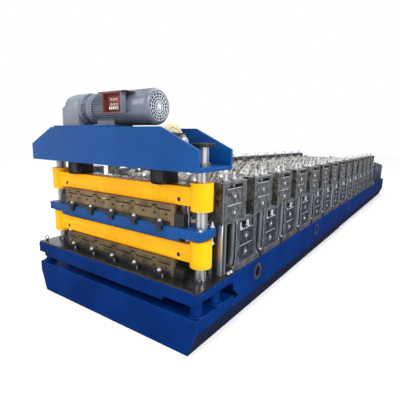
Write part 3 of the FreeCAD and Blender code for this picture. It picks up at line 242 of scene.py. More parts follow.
def finish(name, colour, shade, metal, rough, grain, bump, edge_wear_and_glint=None, wear_and_glint_strength=0.0, edge=0.004,
           stretch=(1, 1, 1), coat=0.0, shine=0.5, painted_reflections=None):
    """A finish with mottled colour, uneven gloss, fine relief, edges tinted partly as wear and partly as
    painted highlight, and bands of painted reflection.

    painted_reflections: centre, direction and width of a band of painted reflection on the right side, and
    its (place, brightness) steps.
    """
    material = bpy.data.materials.new(name)
    material.use_nodes = True
    nodes, links = material.node_tree.nodes, material.node_tree.links
    shader = nodes["Principled BSDF"]
    shader.inputs["Metallic"].default_value = metal
    shader.inputs["Specular IOR Level"].default_value = shine
    shader.inputs["Coat Weight"].default_value = coat
    shader.inputs["Coat Roughness"].default_value = 0.12
    place = nodes.new("ShaderNodeTexCoord")
    mapping = nodes.new("ShaderNodeMapping")
    mapping.inputs["Scale"].default_value = stretch
    links.new(place.outputs["Object"], mapping.inputs["Vector"])

    def noise(scale, detail):
        """Cloudy values over the piece."""
        node = nodes.new("ShaderNodeTexNoise")
        node.inputs["Scale"].default_value = scale
        node.inputs["Detail"].default_value = detail
        links.new(mapping.outputs["Vector"], node.inputs["Vector"])
        return node.outputs["Fac"]

    def ranged(value, low, high, out_low, out_high):
        """The value moved from one range to another."""
        node = nodes.new("ShaderNodeMapRange")
        node.inputs["From Min"].default_value = low
        node.inputs["From Max"].default_value = high
        node.inputs["To Min"].default_value = out_low
        node.inputs["To Max"].default_value = out_high
        links.new(value, node.inputs["Value"])
        return node.outputs["Result"]

    def mixed(factor, first, second):
        """Two colours, or a socket and a colour, mixed by the factor."""
        node = nodes.new("ShaderNodeMix")
        node.data_type = "RGBA"
        links.new(factor, node.inputs["Factor"])
        for value, socket in ((first, node.inputs[6]), (second, node.inputs[7])):
            if isinstance(value, tuple):
                socket.default_value = value
            else:
                links.new(value, socket)
        return node.outputs[2]

    broad, fine = noise(grain, 4), noise(grain * 14, 6)
    skin = mixed(ranged(broad, 0.35, 0.65, 0, 1), tone(colour), tone(shade))
    gloss = ranged(fine, 0.3, 0.7, rough[0], rough[1])
    # Edge tint along the bevels: partly wear, partly a painted highlight standing in for light catching the
    # edges.
    if edge_wear_and_glint:
        bevel = nodes.new("ShaderNodeBevel")
        bevel.samples = 4
        bevel.inputs["Radius"].default_value = edge
        geometry = nodes.new("ShaderNodeNewGeometry")
        dot = nodes.new("ShaderNodeVectorMath")
        dot.operation = "DOT_PRODUCT"
        links.new(bevel.outputs["Normal"], dot.inputs[0])
        links.new(geometry.outputs["Normal"], dot.inputs[1])
        wear_and_glint_mask = nodes.new("ShaderNodeMath")
        wear_and_glint_mask.operation = "MULTIPLY"
        links.new(ranged(dot.outputs["Value"], 0.985, 0.90, 0, 1), wear_and_glint_mask.inputs[0])
        links.new(ranged(noise(grain * 5, 3), 0.30, 0.62, 0, wear_and_glint_strength), wear_and_glint_mask.inputs[1])
        skin = mixed(wear_and_glint_mask.outputs["Value"], skin, tone(edge_wear_and_glint))
    # Painted reflections: bands of brightness, set by place across the piece, multiplied into the colour.
    if painted_reflections:
        centre, direction, width, steps = painted_reflections
        folded = nodes.new("ShaderNodeVectorMath")
        folded.operation = "ABSOLUTE"
        links.new(place.outputs["Object"], folded.inputs[0])
        offset = nodes.new("ShaderNodeVectorMath")
        offset.operation = "SUBTRACT"
        offset.inputs[1].default_value = centre
        links.new(folded.outputs[0], offset.inputs[0])
        across = nodes.new("ShaderNodeVectorMath")
        across.operation = "DOT_PRODUCT"
        across.inputs[1].default_value = direction
        links.new(offset.outputs[0], across.inputs[0])
        band = nodes.new("ShaderNodeValToRGB")
        band.color_ramp.interpolation = "EASE"
        marks = band.color_ramp.elements
        marks[0].position, marks[0].color = steps[0][0], (steps[0][1],) * 3 + (1,)
        marks[1].position, marks[1].color = steps[-1][0], (steps[-1][1],) * 3 + (1,)
        for position, value in steps[1:-1]:
            marks.new(position).color = (value, value, value, 1)
        links.new(ranged(across.outputs["Value"], -width / 2, width / 2, 0, 1), band.inputs["Fac"])
        dimmed = nodes.new("ShaderNodeMix")
        dimmed.data_type = "RGBA"
        dimmed.blend_type = "MULTIPLY"
        dimmed.inputs["Factor"].default_value = 1
        links.new(skin, dimmed.inputs[6])
        links.new(band.outputs["Color"], dimmed.inputs[7])
        skin = dimmed.outputs[2]
    links.new(skin, shader.inputs["Base Color"])
    links.new(gloss, shader.inputs["Roughness"])
    relief = nodes.new("ShaderNodeBump")
    relief.inputs["Strength"].default_value = bump
    relief.inputs["Distance"].default_value = 0.001
    links.new(fine, relief.inputs["Height"])
    links.new(relief.outputs["Normal"], shader.inputs["Normal"])
    return material


# Painted reflections across polished steel: place over the band, brightness
PILLAR_REFLECTIONS = ((0.0, 0.03), (0.25, 0.10), (0.42, 0.05), (0.58, 0.22), (0.70, 0.85), (0.80, 1.0), (0.87, 0.12),
          (1.0, 0.05))
COLUMN_REFLECTIONS = ((0.0, 0.20), (0.12, 0.55), (0.30, 0.75), (0.45, 0.34), (0.58, 0.75), (0.66, 1.0), (0.78, 1.0),
          (0.83, 0.45), (0.92, 0.85), (1.0, 0.30))
POST_REFLECTIONS = ((0.0, 0.10), (0.10, 0.60), (0.20, 0.90), (0.30, 0.06), (0.48, 0.12), (0.58, 0.45), (0.72, 1.0),
        (0.80, 0.06), (0.92, 0.55), (1.0, 0.20))

FINISHES = {
    # rail_blue and head_blue are one blue paint in two strengths: rail_blue is darkened as painted shade for
    # the base, the table frame and legs, head_blue is lightened as painted light for the crosshead and middle
    # beam.
    "rail_blue": finish("rail_blue", (0, 43, 108), (0, 36, 95), 0, (0.36, 0.5), 3, 0.10,
                        (60, 104, 170), 0.6, 0.005, shine=0.03),
    # The skirts' sloping faces: the same blue paint darkened to navy as painted shade.
    "skirt_navy_shade": finish("skirt_navy_shade", (22, 36, 68), (32, 38, 62), 0, (0.45, 0.62), 4, 0.15,
                        (60, 72, 110), 0.4, 0.005, shine=0.03),
    "head_blue": finish("head_blue", (8, 71, 136), (5, 64, 126), 0, (0.34, 0.46), 3, 0.08,
                        (70, 118, 186), 0.5, 0.004, shine=0.18),
    "ram_yellow": finish("ram_yellow", (255, 186, 0), (255, 171, 0), 0, (0.34, 0.46), 4, 0.08,
                         (255, 224, 110), 0.4, 0.003, shine=0.15),
    "chrome_steel": finish("chrome_steel", (230, 231, 232), (206, 207, 208), 1, (0.08, 0.17), 5, 0.02,
                           stretch=(1, 1, 0.3)),
    "ground_steel": finish("ground_steel", (182, 184, 188), (150, 150, 152), 1, (0.22, 0.36), 8, 0.08),
    "table_steel": finish("table_steel", (66, 68, 74), (44, 42, 44), 0.75, (0.10, 0.26), 5, 0.06,
                          (150, 150, 150), 0.5, 0.003),
    "knife_steel": finish("knife_steel", (138, 114, 76), (94, 78, 52), 0.45, (0.30, 0.5), 9, 0.15,
                          (196, 186, 156), 0.5, 0.002),
    "black_steel": finish("black_steel", (30, 31, 34), (46, 44, 44), 0.3, (0.35, 0.55), 12, 0.15,
                          (120, 122, 126), 0.5, 0.002),
    "stand_steel": finish("stand_steel", (104, 112, 122), (58, 64, 72), 0.4, (0.22, 0.42), 14, 0.12,
                          (224, 228, 234), 0.95, 0.005),
    # pillar_chrome, column_chrome and post_chrome carry bands of painted reflection.
    "pillar_chrome": finish("pillar_chrome", (214, 220, 228), (170, 180, 192), 0.55, (0.24, 0.40), 5, 0.04,
                            (240, 242, 245), 0.9, 0.004, stretch=(1, 1, 0.25),
                            painted_reflections=((0.868, 0, 0), (1, 0, 0), 0.12, PILLAR_REFLECTIONS)),
    "column_chrome": finish("column_chrome", (230, 231, 232), (206, 207, 208), 0.7, (0.10, 0.20), 5, 0.02,
                            stretch=(1, 1, 0.3),
                            painted_reflections=((COLUMN_X, -COLUMN_Y, 0), (0.82, -0.57, 0), 0.088, COLUMN_REFLECTIONS)),
    "post_chrome": finish("post_chrome", (224, 228, 234), (190, 198, 206), 0.7, (0.26, 0.42), 5, 0.04,
                          (240, 242, 245), 0.9, 0.004, stretch=(1, 1, 0.25),
                          painted_reflections=((0.868, 4.374, 0), (0.86, -0.50, 0), 0.150, POST_REFLECTIONS)),
    "stand_dark": finish("stand_dark", (98, 96, 90), (40, 39, 38), 0.45, (0.22, 0.45), 26, 0.2,
                         (220, 222, 224), 0.9, 0.005),
    "chock_steel": finish("chock_steel", (116, 120, 124), (58, 61, 64), 0.35, (0.26, 0.5), 24, 0.2,
                          (225, 228, 232), 0.8, 0.003),
    # chock_dark is chock_steel darkened as painted shade for the lower chocks.
    "chock_dark": finish("chock_dark", (76, 84, 92), (30, 35, 42), 0.4, (0.26, 0.5), 24, 0.2,
                         (225, 228, 232), 0.8, 0.003),
    # knife_low is knife_steel darkened as painted shade for the lower knives.
    "knife_low": finish("knife_low", (112, 96, 66), (72, 61, 42), 0.4, (0.32, 0.55), 9, 0.15,
                        (150, 140, 116), 0.5, 0.002),
    "rubbed_mid": finish("rubbed_mid", (44, 56, 92), (20, 42, 90), 0.1, (0.4, 0.6), 30, 0.2, shine=0.1),
    "pad_grey": finish("pad_grey", (118, 116, 126), (80, 80, 90), 0.5, (0.25, 0.42), 10, 0.1,
                       (235, 235, 240), 0.6, 0.003),
    "roll_steel": finish("roll_steel", (214, 212, 208), (92, 88, 84), 0.55, (0.20, 0.40), 6, 0.05,
                         stretch=(9, 1, 1)),
    "motor_grey": finish("motor_grey", (114, 122, 136), (102, 110, 124), 0.1, (0.28, 0.42), 6, 0.1,
                         (170, 178, 188), 0.4, 0.003, coat=0.25),
    "grille_grey": finish("grille_grey", (214, 222, 232), (190, 198, 208), 0.1, (0.3, 0.45), 9, 0.08),
    "reducer_grey": finish("reducer_grey", (128, 137, 146), (112, 121, 130), 0.1, (0.32, 0.5), 7, 0.15,
                           (176, 182, 188), 0.4, 0.003),
    "terminal_red": finish("terminal_red", (128, 58, 50), (92, 40, 36), 0, (0.4, 0.6), 14, 0.12,
                           (190, 120, 104), 0.5, 0.002),
    "cover_grey": finish("cover_grey", (96, 94, 92), (76, 75, 74), 0.3, (0.35, 0.5), 9, 0.1,
                         (160, 160, 160), 0.5, 0.002),
    "cream_disc": finish("cream_disc", (222, 208, 172), (196, 180, 146), 0, (0.4, 0.6), 9, 0.12,
                         (150, 140, 120), 0.4, 0.003),
    "hub_white": finish("hub_white", (232, 228, 220), (206, 202, 196), 0.2, (0.3, 0.45), 9, 0.05),
    "infeed_steel": finish("infeed_steel", (62, 70, 86), (44, 50, 64), 0.5, (0.26, 0.42), 7, 0.1,
                           (200, 206, 214), 0.8, 0.005),
    "bearing_black": finish("bearing_black", (44, 46, 50), (30, 31, 34), 0.2, (0.4, 0.6), 12, 0.2,
                            (120, 122, 126), 0.4, 0.002),
    "bright_steel": finish("bright_steel", (228, 231, 236), (196, 200, 206), 0.35, (0.22, 0.38), 9, 0.05),
    "brass": finish("brass", (225, 180, 104), (190, 144, 74), 1, (0.2, 0.35), 20, 0.05),
    "rubbed_rim": finish("rubbed_rim", (92, 92, 98), (60, 58, 62), 0.4, (0.3, 0.5), 30, 0.2),
}


def fit(piece, slot, body=FRAME, nodes=(), look=None):
    """Gives a piece its finish, its body and the CAD nodes that it stands for."""
    piece.data.materials.clear()
    piece.data.materials.append(FINISHES[look or slot])
    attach(piece, body)
    if nodes:
        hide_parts(*nodes)
    return piece


def carry(node, slot, width, body=FRAME, segments=1, look=None):
    """The CAD node's own shape, dressed."""
    return fit(dressed(node, width, segments), slot, body, (node,), look)


def station_places(first, zs=(0,)):
    """Y of each station with each height, from the first station of a level."""
    return [(first + PITCH * number, z) for z in zs for number in range(STATIONS)]


def station_pieces(piece, x, first, spans, z=0):
    """Copies of the piece at each station of a level, moved across it by each span."""
    return spread(piece, [(x, y + across, z) for y, _ in station_places(first) for across in spans])


def repaint(piece, look, wanted):
    """Gives the faces that are wanted a second finish."""
    piece.data.materials.append(FINISHES[look])
    slot = len(piece.data.materials) - 1
    for face in piece.data.polygons:
        if wanted(face):
            face.material_index = slot


# Base

def base():
    """Rails and base box in blue darkened as painted shade, their skirts darkened to navy as deeper painted
    shade, the pads, and the plates that close the front rails.
    """
    for node in ("front_rail_right", "front_rail_left", "rear_rail_right", "rear_rail_left",
                 "rear_end_plate", "cross_members"):
        rail = carry(node, "rail_blue", 0.003)
        if "rail" in node:
            # Skirt faces darkened to navy as painted shade.
            repaint(rail, "skirt_navy_shade", lambda face: face.center.z < SKIRT_TOP)
    box = carry("shear_base_box", "rail_blue", 0.003)
    # The box's skirt sides darkened to navy as painted shade.
    repaint(box, "skirt_navy_shade", lambda face: face.center.z < SKIRT_TOP and abs(face.normal.x) > 0.7)
    carry("stand_pads", "pad_grey", EDGE_SOFTENING)
    front, back = TABLE_FRONT + 0.606, TABLE_FRONT + 0.613
    web = block("rail_diaphragms", (0.727, front, 0.192), (0.9335, back, 0.448), 0.001)
    foot = block("diaphragm_feet", (0.727, front, 0.060), (0.896, back, 0.194), 0.001)
    fit(both_sides(joined("rail_diaphragms", foot, web)), "rail_blue")
    first = block("first_pads", (0.812, TABLE_FRONT + 0.4965, 0.4655),
                  (0.936, TABLE_FRONT + 0.594, 0.5195), EDGE_SOFTENING)
    fit(both_sides(first), "pad_grey")


def lifting_holes():
    """Bores with the paint scuffed off round them, their insides black as painted shade."""
    cup = turned("lifting_bores", (0, 0, 0), "X",
                 ((-0.050, 0.050), (-0.004, 0.050), (-0.004, 0.082), (0.0005, 0.082), (0.0012, 0.072),
                  (0.0016, 0.060), (0.0014, 0.0446), (-0.046, 0.0438)), 40)
    places = [(0.950, TABLE_FRONT + 0.933, 0.350), (0.950, TABLE_FRONT + 2.743, 0.350),
              (0.940, TABLE_FRONT + 4.793, 0.350)]
    halo = fit(both_sides(spread(cup, places)), "rail_blue", look="rubbed_rim")
    repaint(halo, "rubbed_mid", lambda face: beyond(face.center, places, 0.066))
    # The bores' insides black as painted shade for the depth of the hole.
    repaint(halo, "bearing_black", lambda face: not beyond(face.center, places, 0.0443))


def beyond(point, places, radius):
    """Whether a point of the rail's face is farther than the radius from each place."""
    return all((point.y - y) ** 2 + (point.z - z) ** 2 > radius ** 2 for _, y, z in places)


# Stands

def stands():
    """Stand frames, the lower ones with bands of painted reflection on their pillars, the chocks between
    them, darker on the lower level as painted shade, and the posts in front, also with painted reflections.
    """
    for level, frame_look, pillar_look, chock_look in (
            ("lower", "stand_steel", "pillar_chrome", "chock_dark"),
            ("upper", "chock_steel", "stand_dark", "chock_steel")):
        for side in ("right", "left"):
            frames = carry("%s_stand_frames_%s" % (level, side), "stand_steel", 0.0025, look=frame_look)
            # On the lower level these faces carry bands of painted reflection.
            repaint(frames, pillar_look, lambda face: abs(face.normal.x) < 0.3)
        # Lower chocks take chock_dark, darkened as painted shade.
        carry(level + "_chocks", "chock_steel", EDGE_SOFTENING, look=chock_look)
    # The posts carry bands of painted reflection.
    carry("front_posts", "chrome_steel", 0.003, look="post_chrome")


def chock_details():
    """Bearing covers, shaft ends, bright strips at the seams as painted highlight, and screws on the chocks'
    outer faces.
    """
    places = [(CHOCK_FACE, y, z)
              for first, centres in ((LOWER_FIRST, (0.588, 0.724)), (UPPER_FIRST, (0.953, 1.080)))
              for y, z in station_places(first, centres)]
    cover = turned("bearing_covers", (0, 0, 0), "X",
                   ((-0.002, 0.032), (0.0015, 0.032), (0.0028, 0.030), (0.0028, 0.022), (0.0018, 0.020)), 20)
    fit(both_sides(spread(cover, places)), "chock_steel")
    cap = turned("shaft_end_dots", (0, 0, 0), "X",
                 ((-0.002, 0.013), (0.0045, 0.013), (0.0062, 0.010), (0.0062, 0.005), (0.005, 0.003)), 16)
    fit(both_sides(spread(cap, places)), "chrome_steel", look="bright_steel")

    # Bright strips along the chock seams: painted highlight where the gap catches light.
    seam_highlight = block("chock_seam_highlights", (0.9195, -0.112, -0.0022), (0.9228, 0.112, 0.0022), 0.0006)
    places = [(0, y, z) for first, lows in ((LOWER_FIRST, (0.6555, 0.789)), (UPPER_FIRST, (1.0165, 1.141)))
              for y, z in station_places(first, lows)]
    fit(both_sides(spread(seam_highlight, places)), "chrome_steel", look="bright_steel")

    plate_screw = turned("chock_screws", (0, 0, 0), "X",
                         ((-0.002, 0.0065), (0.003, 0.0065), (0.004, 0.0045)), 8)
    places = [(CHOCK_FACE, y + across, z)
              for first, zs in ((LOWER_FIRST, (0.545, 0.765)), (UPPER_FIRST, (0.912, 1.120)))
              for y, z in station_places(first, zs) for across in (-0.088, 0.088)]
    fit(both_sides(spread(plate_screw, places)), "ground_steel")


def adjusting_screws():
    """Two screws over each chock, the upper ones with a lock nut."""
    lower = turned("lower_screw", (0, 0, 0.791), "Z",
                   ((0, 0.022), (0.010, 0.022), (0.011, 0.0125), (0.067, 0.0125)), 12)
    lower = station_pieces(lower, 0.895, LOWER_FIRST, SCREW_SPAN)
    above = turned("upper_screw", (0, 0, 1.143), "Z",
                   ((0, 0.013), (0.052, 0.013), (0.053, 0.024), (0.068, 0.024), (0.070, 0.021),
                    (0.071, 0.013), (0.110, 0.013), (0.114, 0.009)), 12)
    above = station_pieces(above, 0.8675, UPPER_FIRST, SCREW_SPAN)
    fit(both_sides(joined("adjusting_screws_turned", lower, above)), "chrome_steel",
        nodes=("adjusting_screws",), look="bright_steel")


def stand_bolts():
    """Bright bolts that hold the stands to the pads, and dark clips over the pad seams."""
    between = LOWER_FIRST + PITCH / 2
    bolt = turned("pad_bolts", (0, 0, 0), "Z",
                  ((-0.002, 0.014), (0.003, 0.014), (0.0031, 0.011), (0.013, 0.011), (0.015, 0.008)), 6)
    bolts = station_pieces(bolt, 0.915, between, (-0.047, 0.047), 0.520)
    fit(both_sides(bolts), "chrome_steel", look="bright_steel")
    clip = block("pad_clips", (0.9365, -0.009, 0.472), (0.9470, 0.009, 0.516), 0.001)
    head = block("pad_clip_heads", (0.912, -0.022, 0.516), (0.947, 0.022, 0.528), 0.002)
    clips = spread(joined("pad_clips", clip, head), [(0, y, 0) for y, _ in station_places(between)][:-1])
    fit(both_sides(clips), "black_steel")


# Rolls

def roll_profile(count, male):
    """Steps of a roll: rings that carry the ribs, and plain shaft between them."""
    ring, shaft = (0.062, 0.040) if male else (0.0675, 0.040)
    rib = 0.087 if male else 0.043
    profile = [(-0.815, 0.036), (-0.722, 0.036), (-0.722, ring), (-0.640, ring), (-0.640, shaft)]
    centres = [(number - (count - 1) / 2) * RIB_PITCH for number in range(count)]
    for number, centre in enumerate(centres):
        profile += [(centre - 0.062, shaft), (centre - 0.062, ring), (centre - 0.034, ring),
                    (centre - 0.014, rib), (centre + 0.014, rib), (centre + 0.034, ring),
                    (centre + 0.062, ring), (centre + 0.062, shaft)]
        if number + 1 < len(centres):
            middle = (centre + centres[number + 1]) / 2
            profile += [(middle - 0.018, shaft), (middle - 0.018, ring), (middle + 0.018, ring),
                        (middle + 0.018, shaft)]
    return profile + [(0.640, shaft), (0.640, ring), (0.722, ring), (0.722, 0.036), (0.815, 0.036)]


def rolls():
    """Four rows of rolls, whose ribs grow from one to five towards the shear."""
    for level, first, (low, high) in (("lower", LOWER_FIRST, LOWER_SHAFTS),
                                      ("upper", UPPER_FIRST, UPPER_SHAFTS)):
        for place, height, male in (("bottom", low, True), ("top", high, False)):
            parts = []
            for count, start, stop in ((5, 0, 7), (3, 7, 11), (1, 11, 14)):
                roll = turned("roll_%d" % count, (0, 0, 0), "X", roll_profile(count, male), 28)
                parts.append(spread(roll, [(0, first + PITCH * n, height) for n in range(start, stop)]))
            node = "%s_%s_rolls" % (level, place)
            fit(joined(node + "_turned", *parts), "roll_steel", nodes=(node,))


# Shear

def hex_bolt(name, base, axis, radius, height):
    """A hexagon head on its washer."""
    head = turned(name, base, axis, ((0, radius), (height * 0.8, radius), (height, radius * 0.8)), 6)
    washer = turned(name + "_washer", base, axis, ((0, radius * 1.35), (height * 0.15, radius * 1.35)), 18)
    return joined(name, washer, head)


def shear_table():
    """The table's frame, plate and legs, a lifting eye and the bolts at its rear corners."""
    # The frame, legs and leg rings take the darker blue of the base as painted shade.
    carry("shear_table_frame", "head_blue", 0.003, look="rail_blue")
    carry("shear_table_plate", "table_steel", EDGE_SOFTENING)
    carry("table_legs", "head_blue", 0.003, look="rail_blue")
    ring = turned("leg_rings", (0, 0, 0), "Z", ((0, 0.062), (0.008, 0.062), (0.010, 0.060)), 28)
    fit(both_sides(spread(ring, [(0.890, TABLE_FRONT + y, 0.2895) for y in (0.075, 0.305)])), "head_blue",
        look="rail_blue")
    eye_x, eye_y = -0.915, TABLE_FRONT + 0.060
    eye = wire_ring(0.016, 0.0045, (24, 8), (eye_x, eye_y, 0.518), (pi / 2, 0, 0.5))
    bpy.ops.object.shade_smooth()
    stem = turned("eye_stem", (eye_x, eye_y, TABLE_TOP), "Z",
                  ((0, 0.013), (0.004, 0.013), (0.005, 0.007), (0.013, 0.006)), 16)
    fit(joined("table_eyebolt", eye, stem), "black_steel")
    bolt = hex_bolt("table_bolts", (0, 0, TABLE_TOP), "Z", 0.012, 0.014)
    fit(both_sides(spread(bolt, [(0.936, TABLE_FRONT + y, 0) for y in (0.425, 0.465)])), "chrome_steel",
        look="bright_steel")


def columns():
    """Guide columns between their collars, nuts and caps."""
    # The columns carry bands of painted reflection.
    carry("guide_columns", "chrome_steel", 0.002, look="column_chrome")
    collar = turned("column_collars", (COLUMN_X, COLUMN_Y, TABLE_TOP), "Z",
                    ((0, 0.052), (0.010, 0.052), (0.013, 0.049), (0.013, 0.0433), (0.010, 0.0433)), 40)
    fit(both_sides(collar), "ground_steel")
    bolt = turned("collar_bolts", (COLUMN_X + 0.0505, COLUMN_Y, 0.494), "Z",
                  ((0, 0.0065), (0.016, 0.0065), (0.018, 0.005)), 8)
    fit(both_sides(ringed(bolt, 8, (COLUMN_X, COLUMN_Y, 0.5), "Z")), "black_steel")
    cap = turned("column_caps_turned", (COLUMN_X, COLUMN_Y, 1.448), "Z",
                 ((0, 0.050), (0.002, 0.052), (0.004, 0.078), (0.006, 0.084), (0.022, 0.084),
                  (0.026, 0.080), (0.026, 0.062), (0.014, 0.056), (0.014, 0.030), (0.026, 0.029),
                  (0.028, 0.027), (0.028, 0.012), (0.024, 0.010)), 40)
    fit(both_sides(cap), "black_steel", nodes=("column_caps",))
    sleeve = turned("column_nuts", (COLUMN_X, COLUMN_Y, 1.320), "Z",
                    ((0, 0.058), (0.020, 0.058), (0.024, 0.055), (0.024, 0.0433), (0.020, 0.0433)), 40)
    fit(both_sides(sleeve), "ground_steel")


def shear_frame():
    """The middle beam with its end bolts, and the crosshead."""
    carry("middle_beam", "head_blue", 0.003)
    stud_x, stud_y = 0.872, TABLE_FRONT + 0.282
    above = hex_bolt("beam_end_bolts", (stud_x, stud_y, MIDDLE_TOP), "Z", 0.015, 0.016)
    stud = turned("beam_end_studs", (stud_x, stud_y, 0.740), "Z",
                  ((0, 0.0075), (0.172, 0.0075), (0.175, 0.005)), 12)
    under = hex_bolt("beam_end_nuts", (stud_x, stud_y, 0.752), "Z", 0.015, 0.016)
    front = hex_bolt("beam_front_bolts", (0.878, TABLE_FRONT + 0.125, MIDDLE_TOP), "Z", 0.010, 0.011)
    fit(both_sides(joined("beam_end_bolts", above, stud, under, front)), "chrome_steel", look="bright_steel")
    for node in ("crosshead_front_plate", "crosshead_rear_plate", "crosshead_floor", "crosshead_ribs",
                 "motor_mount_plate"):
        carry(node, "head_blue", 0.0025)


def knives():
    """Fixed and moving knives, the lower ones darker as painted shade, with the rest bars, guides and clamps
    of the fixed ones on both levels; the dark rest bars also paint the shade along the fixed knives' lower
    part.
    """
    # The lower knives take knife_low, darkened as painted shade.
    for level, look in (("upper", "knife_steel"), ("lower", "knife_low")):
        carry(level + "_fixed_knife", "knife_steel", 0.001, look=look)
        carry(level + "_moving_knife", "knife_steel", 0.001, RAM, look=look)
    carry("knife_posts", "black_steel", EDGE_SOFTENING)
    carry("knife_clamps", "black_steel", EDGE_SOFTENING)
    bolt = turned("knife_bolts", (0, 0, 0), "Y", ((-0.004, 0.008), (-0.003, 0.0105), (0.001, 0.0105)), 14)
    places = [(-0.575 + 0.115 * n, KNIFE_FACE, z) for n in range(11) for z in (0.958, 0.545)]
    fit(spread(bolt, places), "black_steel")
    seats = (MIDDLE_TOP + 0.0002, TABLE_TOP + 0.0002)
    front, back = TABLE_FRONT + 0.107, TABLE_FRONT + 0.1178
    # Dark rest bars along the foot of each fixed knife: partly real bars, partly painted shade along the
    # knife's lower part.
    shading_rests = [block("knife_rests_and_shade", (-0.612, front, z), (0.612, back, z + 0.034), EDGE_SOFTENING)
             for z in seats]
    fit(joined("knife_rests_and_shade", *shading_rests), "black_steel")
    front, back = TABLE_FRONT + 0.121, TABLE_FRONT + 0.176
    guides = [block("knife_guides", (0.688, front, low), (0.736, back, high), 0.002)
              for low, high in zip(seats, (0.970, 0.557))]
    fit(both_sides(joined("knife_guides", *guides)), "black_steel")
    xs = [-0.530 + 0.265 * n for n in range(5)]
    plate = block("clamp_plates", (-0.048, TABLE_FRONT + 0.074, 0), (0.048, TABLE_FRONT + 0.1175, 0.0272),
                  0.004, 2)
    places = [(x, 0, z) for x in xs for z in (MIDDLE_TOP + 0.0005, TABLE_TOP + 0.0005)]
    fit(spread(plate, places), "black_steel")
    bolt = hex_bolt("clamp_bolts", (0, 0, 0), "Z", 0.0125, 0.016)
    places = [(x, TABLE_FRONT + 0.098, 0.905) for x in xs] + [(x, TABLE_FRONT + 0.092, 0.524) for x in xs]
    fit(spread(bolt, places), "chrome_steel", look="bright_steel")
    foot = hex_bolt("clamp_foot_bolts", (0, 0, 0), "Z", 0.010, 0.018)
    fit(spread(foot, [(x + 0.045, TABLE_FRONT + 0.080, TABLE_TOP) for x in xs]), "ground_steel")


def ram():
    """The moving body: beams, crank blocks and tie rods with their bolts."""
    for node in ("upper_ram_beam", "lower_ram_beam"):
        carry(node, "ram_yellow", 0.003, RAM, 2)
    carry("crank_blocks", "black_steel", 0.003, RAM, 2)
    carry("ram_tie_rods", "ground_steel", EDGE_SOFTENING, RAM)
    face = block("block_fronts", (0.441, BLOCK_FACE, 1.172), (0.565, BLOCK_FACE + 0.006, 1.329), 0)
    rounded(face, "Y", 0.022)
    fit(both_sides(face), "black_steel", RAM)
    nut = turned("tie_nuts", (0, 0, 0), "Z", ((0, 0.030), (0.022, 0.030), (0.024, 0.026)), 6)
    fit(both_sides(spread(nut, [(0.716, COLUMN_Y, 0.758)])), "ground_steel", RAM)
    heads = [turned("block_bolts", (x + across, BLOCK_FACE, 1.196), "Y",
                    ((-0.006, 0.008), (-0.005, 0.010), (0.001, 0.010)), 12)
             for x in (-0.503, 0.503) for across in (-0.042, 0.042)]
    fit(joined("block_bolts", *heads), "black_steel", RAM)
    side = turned("block_side_bolts", (0, 0, 0), "X", ((-0.002, 0.011), (0.006, 0.011), (0.008, 0.008)), 12)
    fit(spread(side, [(x, TABLE_FRONT + 0.215, 1.296) for x in (0.553, -0.453)]), "chrome_steel", RAM,
        look="bright_steel")
    plug = turned("beam_plugs", (0, 0, 0), "Y", ((0.002, 0.010), (0.004, 0.0165), (0.020, 0.0165)), 16)
    places = [(x, BEAM_FACE, z) for x in (-0.668, 0.668) for z in (1.076, 0.663)]
    fit(spread(plug, places), "black_steel", RAM)
    screw = turned("knife_screws", (0, 0, 0), "Y", ((-0.0008, 0.002), (-0.0008, 0.0036), (0.003, 0.0036)), 10)
    places = [(-0.560 + 0.140 * n, BEAM_FACE, z) for n in range(9) for z in (1.070, 0.657)]
    fit(spread(screw, places), "black_steel", RAM)


def crank_drive():
    """Crankshaft with its bearings, brake disc, rings and hub."""
    carry("crank_shaft", "ground_steel", 0.001)
    carry("shaft_bearings", "bearing_black", 0.003, segments=2)
    carry("connecting_rods", "black_steel", 0.002)
    bolt = hex_bolt("bearing_bolts", (0, 0, 0), "Z", 0.012, 0.014)
    places = [(x, CRANK_Y + y, 1.450) for x in (-0.622, -0.320, 0.320, 0.622) for y in (-0.078, 0.078)]
    fit(spread(bolt, places), "ground_steel")
    disc = turned("brake_disc_turned", (0.541, CRANK_Y, CRANK_Z), "X",
                  ((0, 0.060), (0, 0.119), (0.003, 0.125), (0.027, 0.125), (0.030, 0.119), (0.030, 0.100),
                   (0.026, 0.096), (0.026, 0.066), (0.030, 0.062), (0.030, 0.044)), 48)
    fit(disc, "cream_disc", nodes=("brake_disc",))
    rings = turned("crank_rings", (0.571, CRANK_Y, CRANK_Z), "X",
                   ((0, 0.066), (0.006, 0.070), (0.010, 0.060), (0.014, 0.068), (0.018, 0.060),
                    (0.022, 0.066), (0.026, 0.060)), 32)
    fit(rings, "ground_steel")
    collar = turned("crank_collar", (0.647, CRANK_Y, CRANK_Z), "X",
                    ((0, 0.048), (0.006, 0.050), (0.014, 0.050), (0.016, 0.046)), 32)
    fit(collar, "ground_steel")
    hub = turned("shaft_hub_turned", (0.655, CRANK_Y, CRANK_Z), "X",
                 ((0, 0.028), (0.002, 0.030), (0.028, 0.030), (0.032, 0.026), (0.032, 0.012),
                  (0.029, 0.010)), 28)
    fit(hub, "hub_white", nodes=("shaft_hub",))


# Gear motor

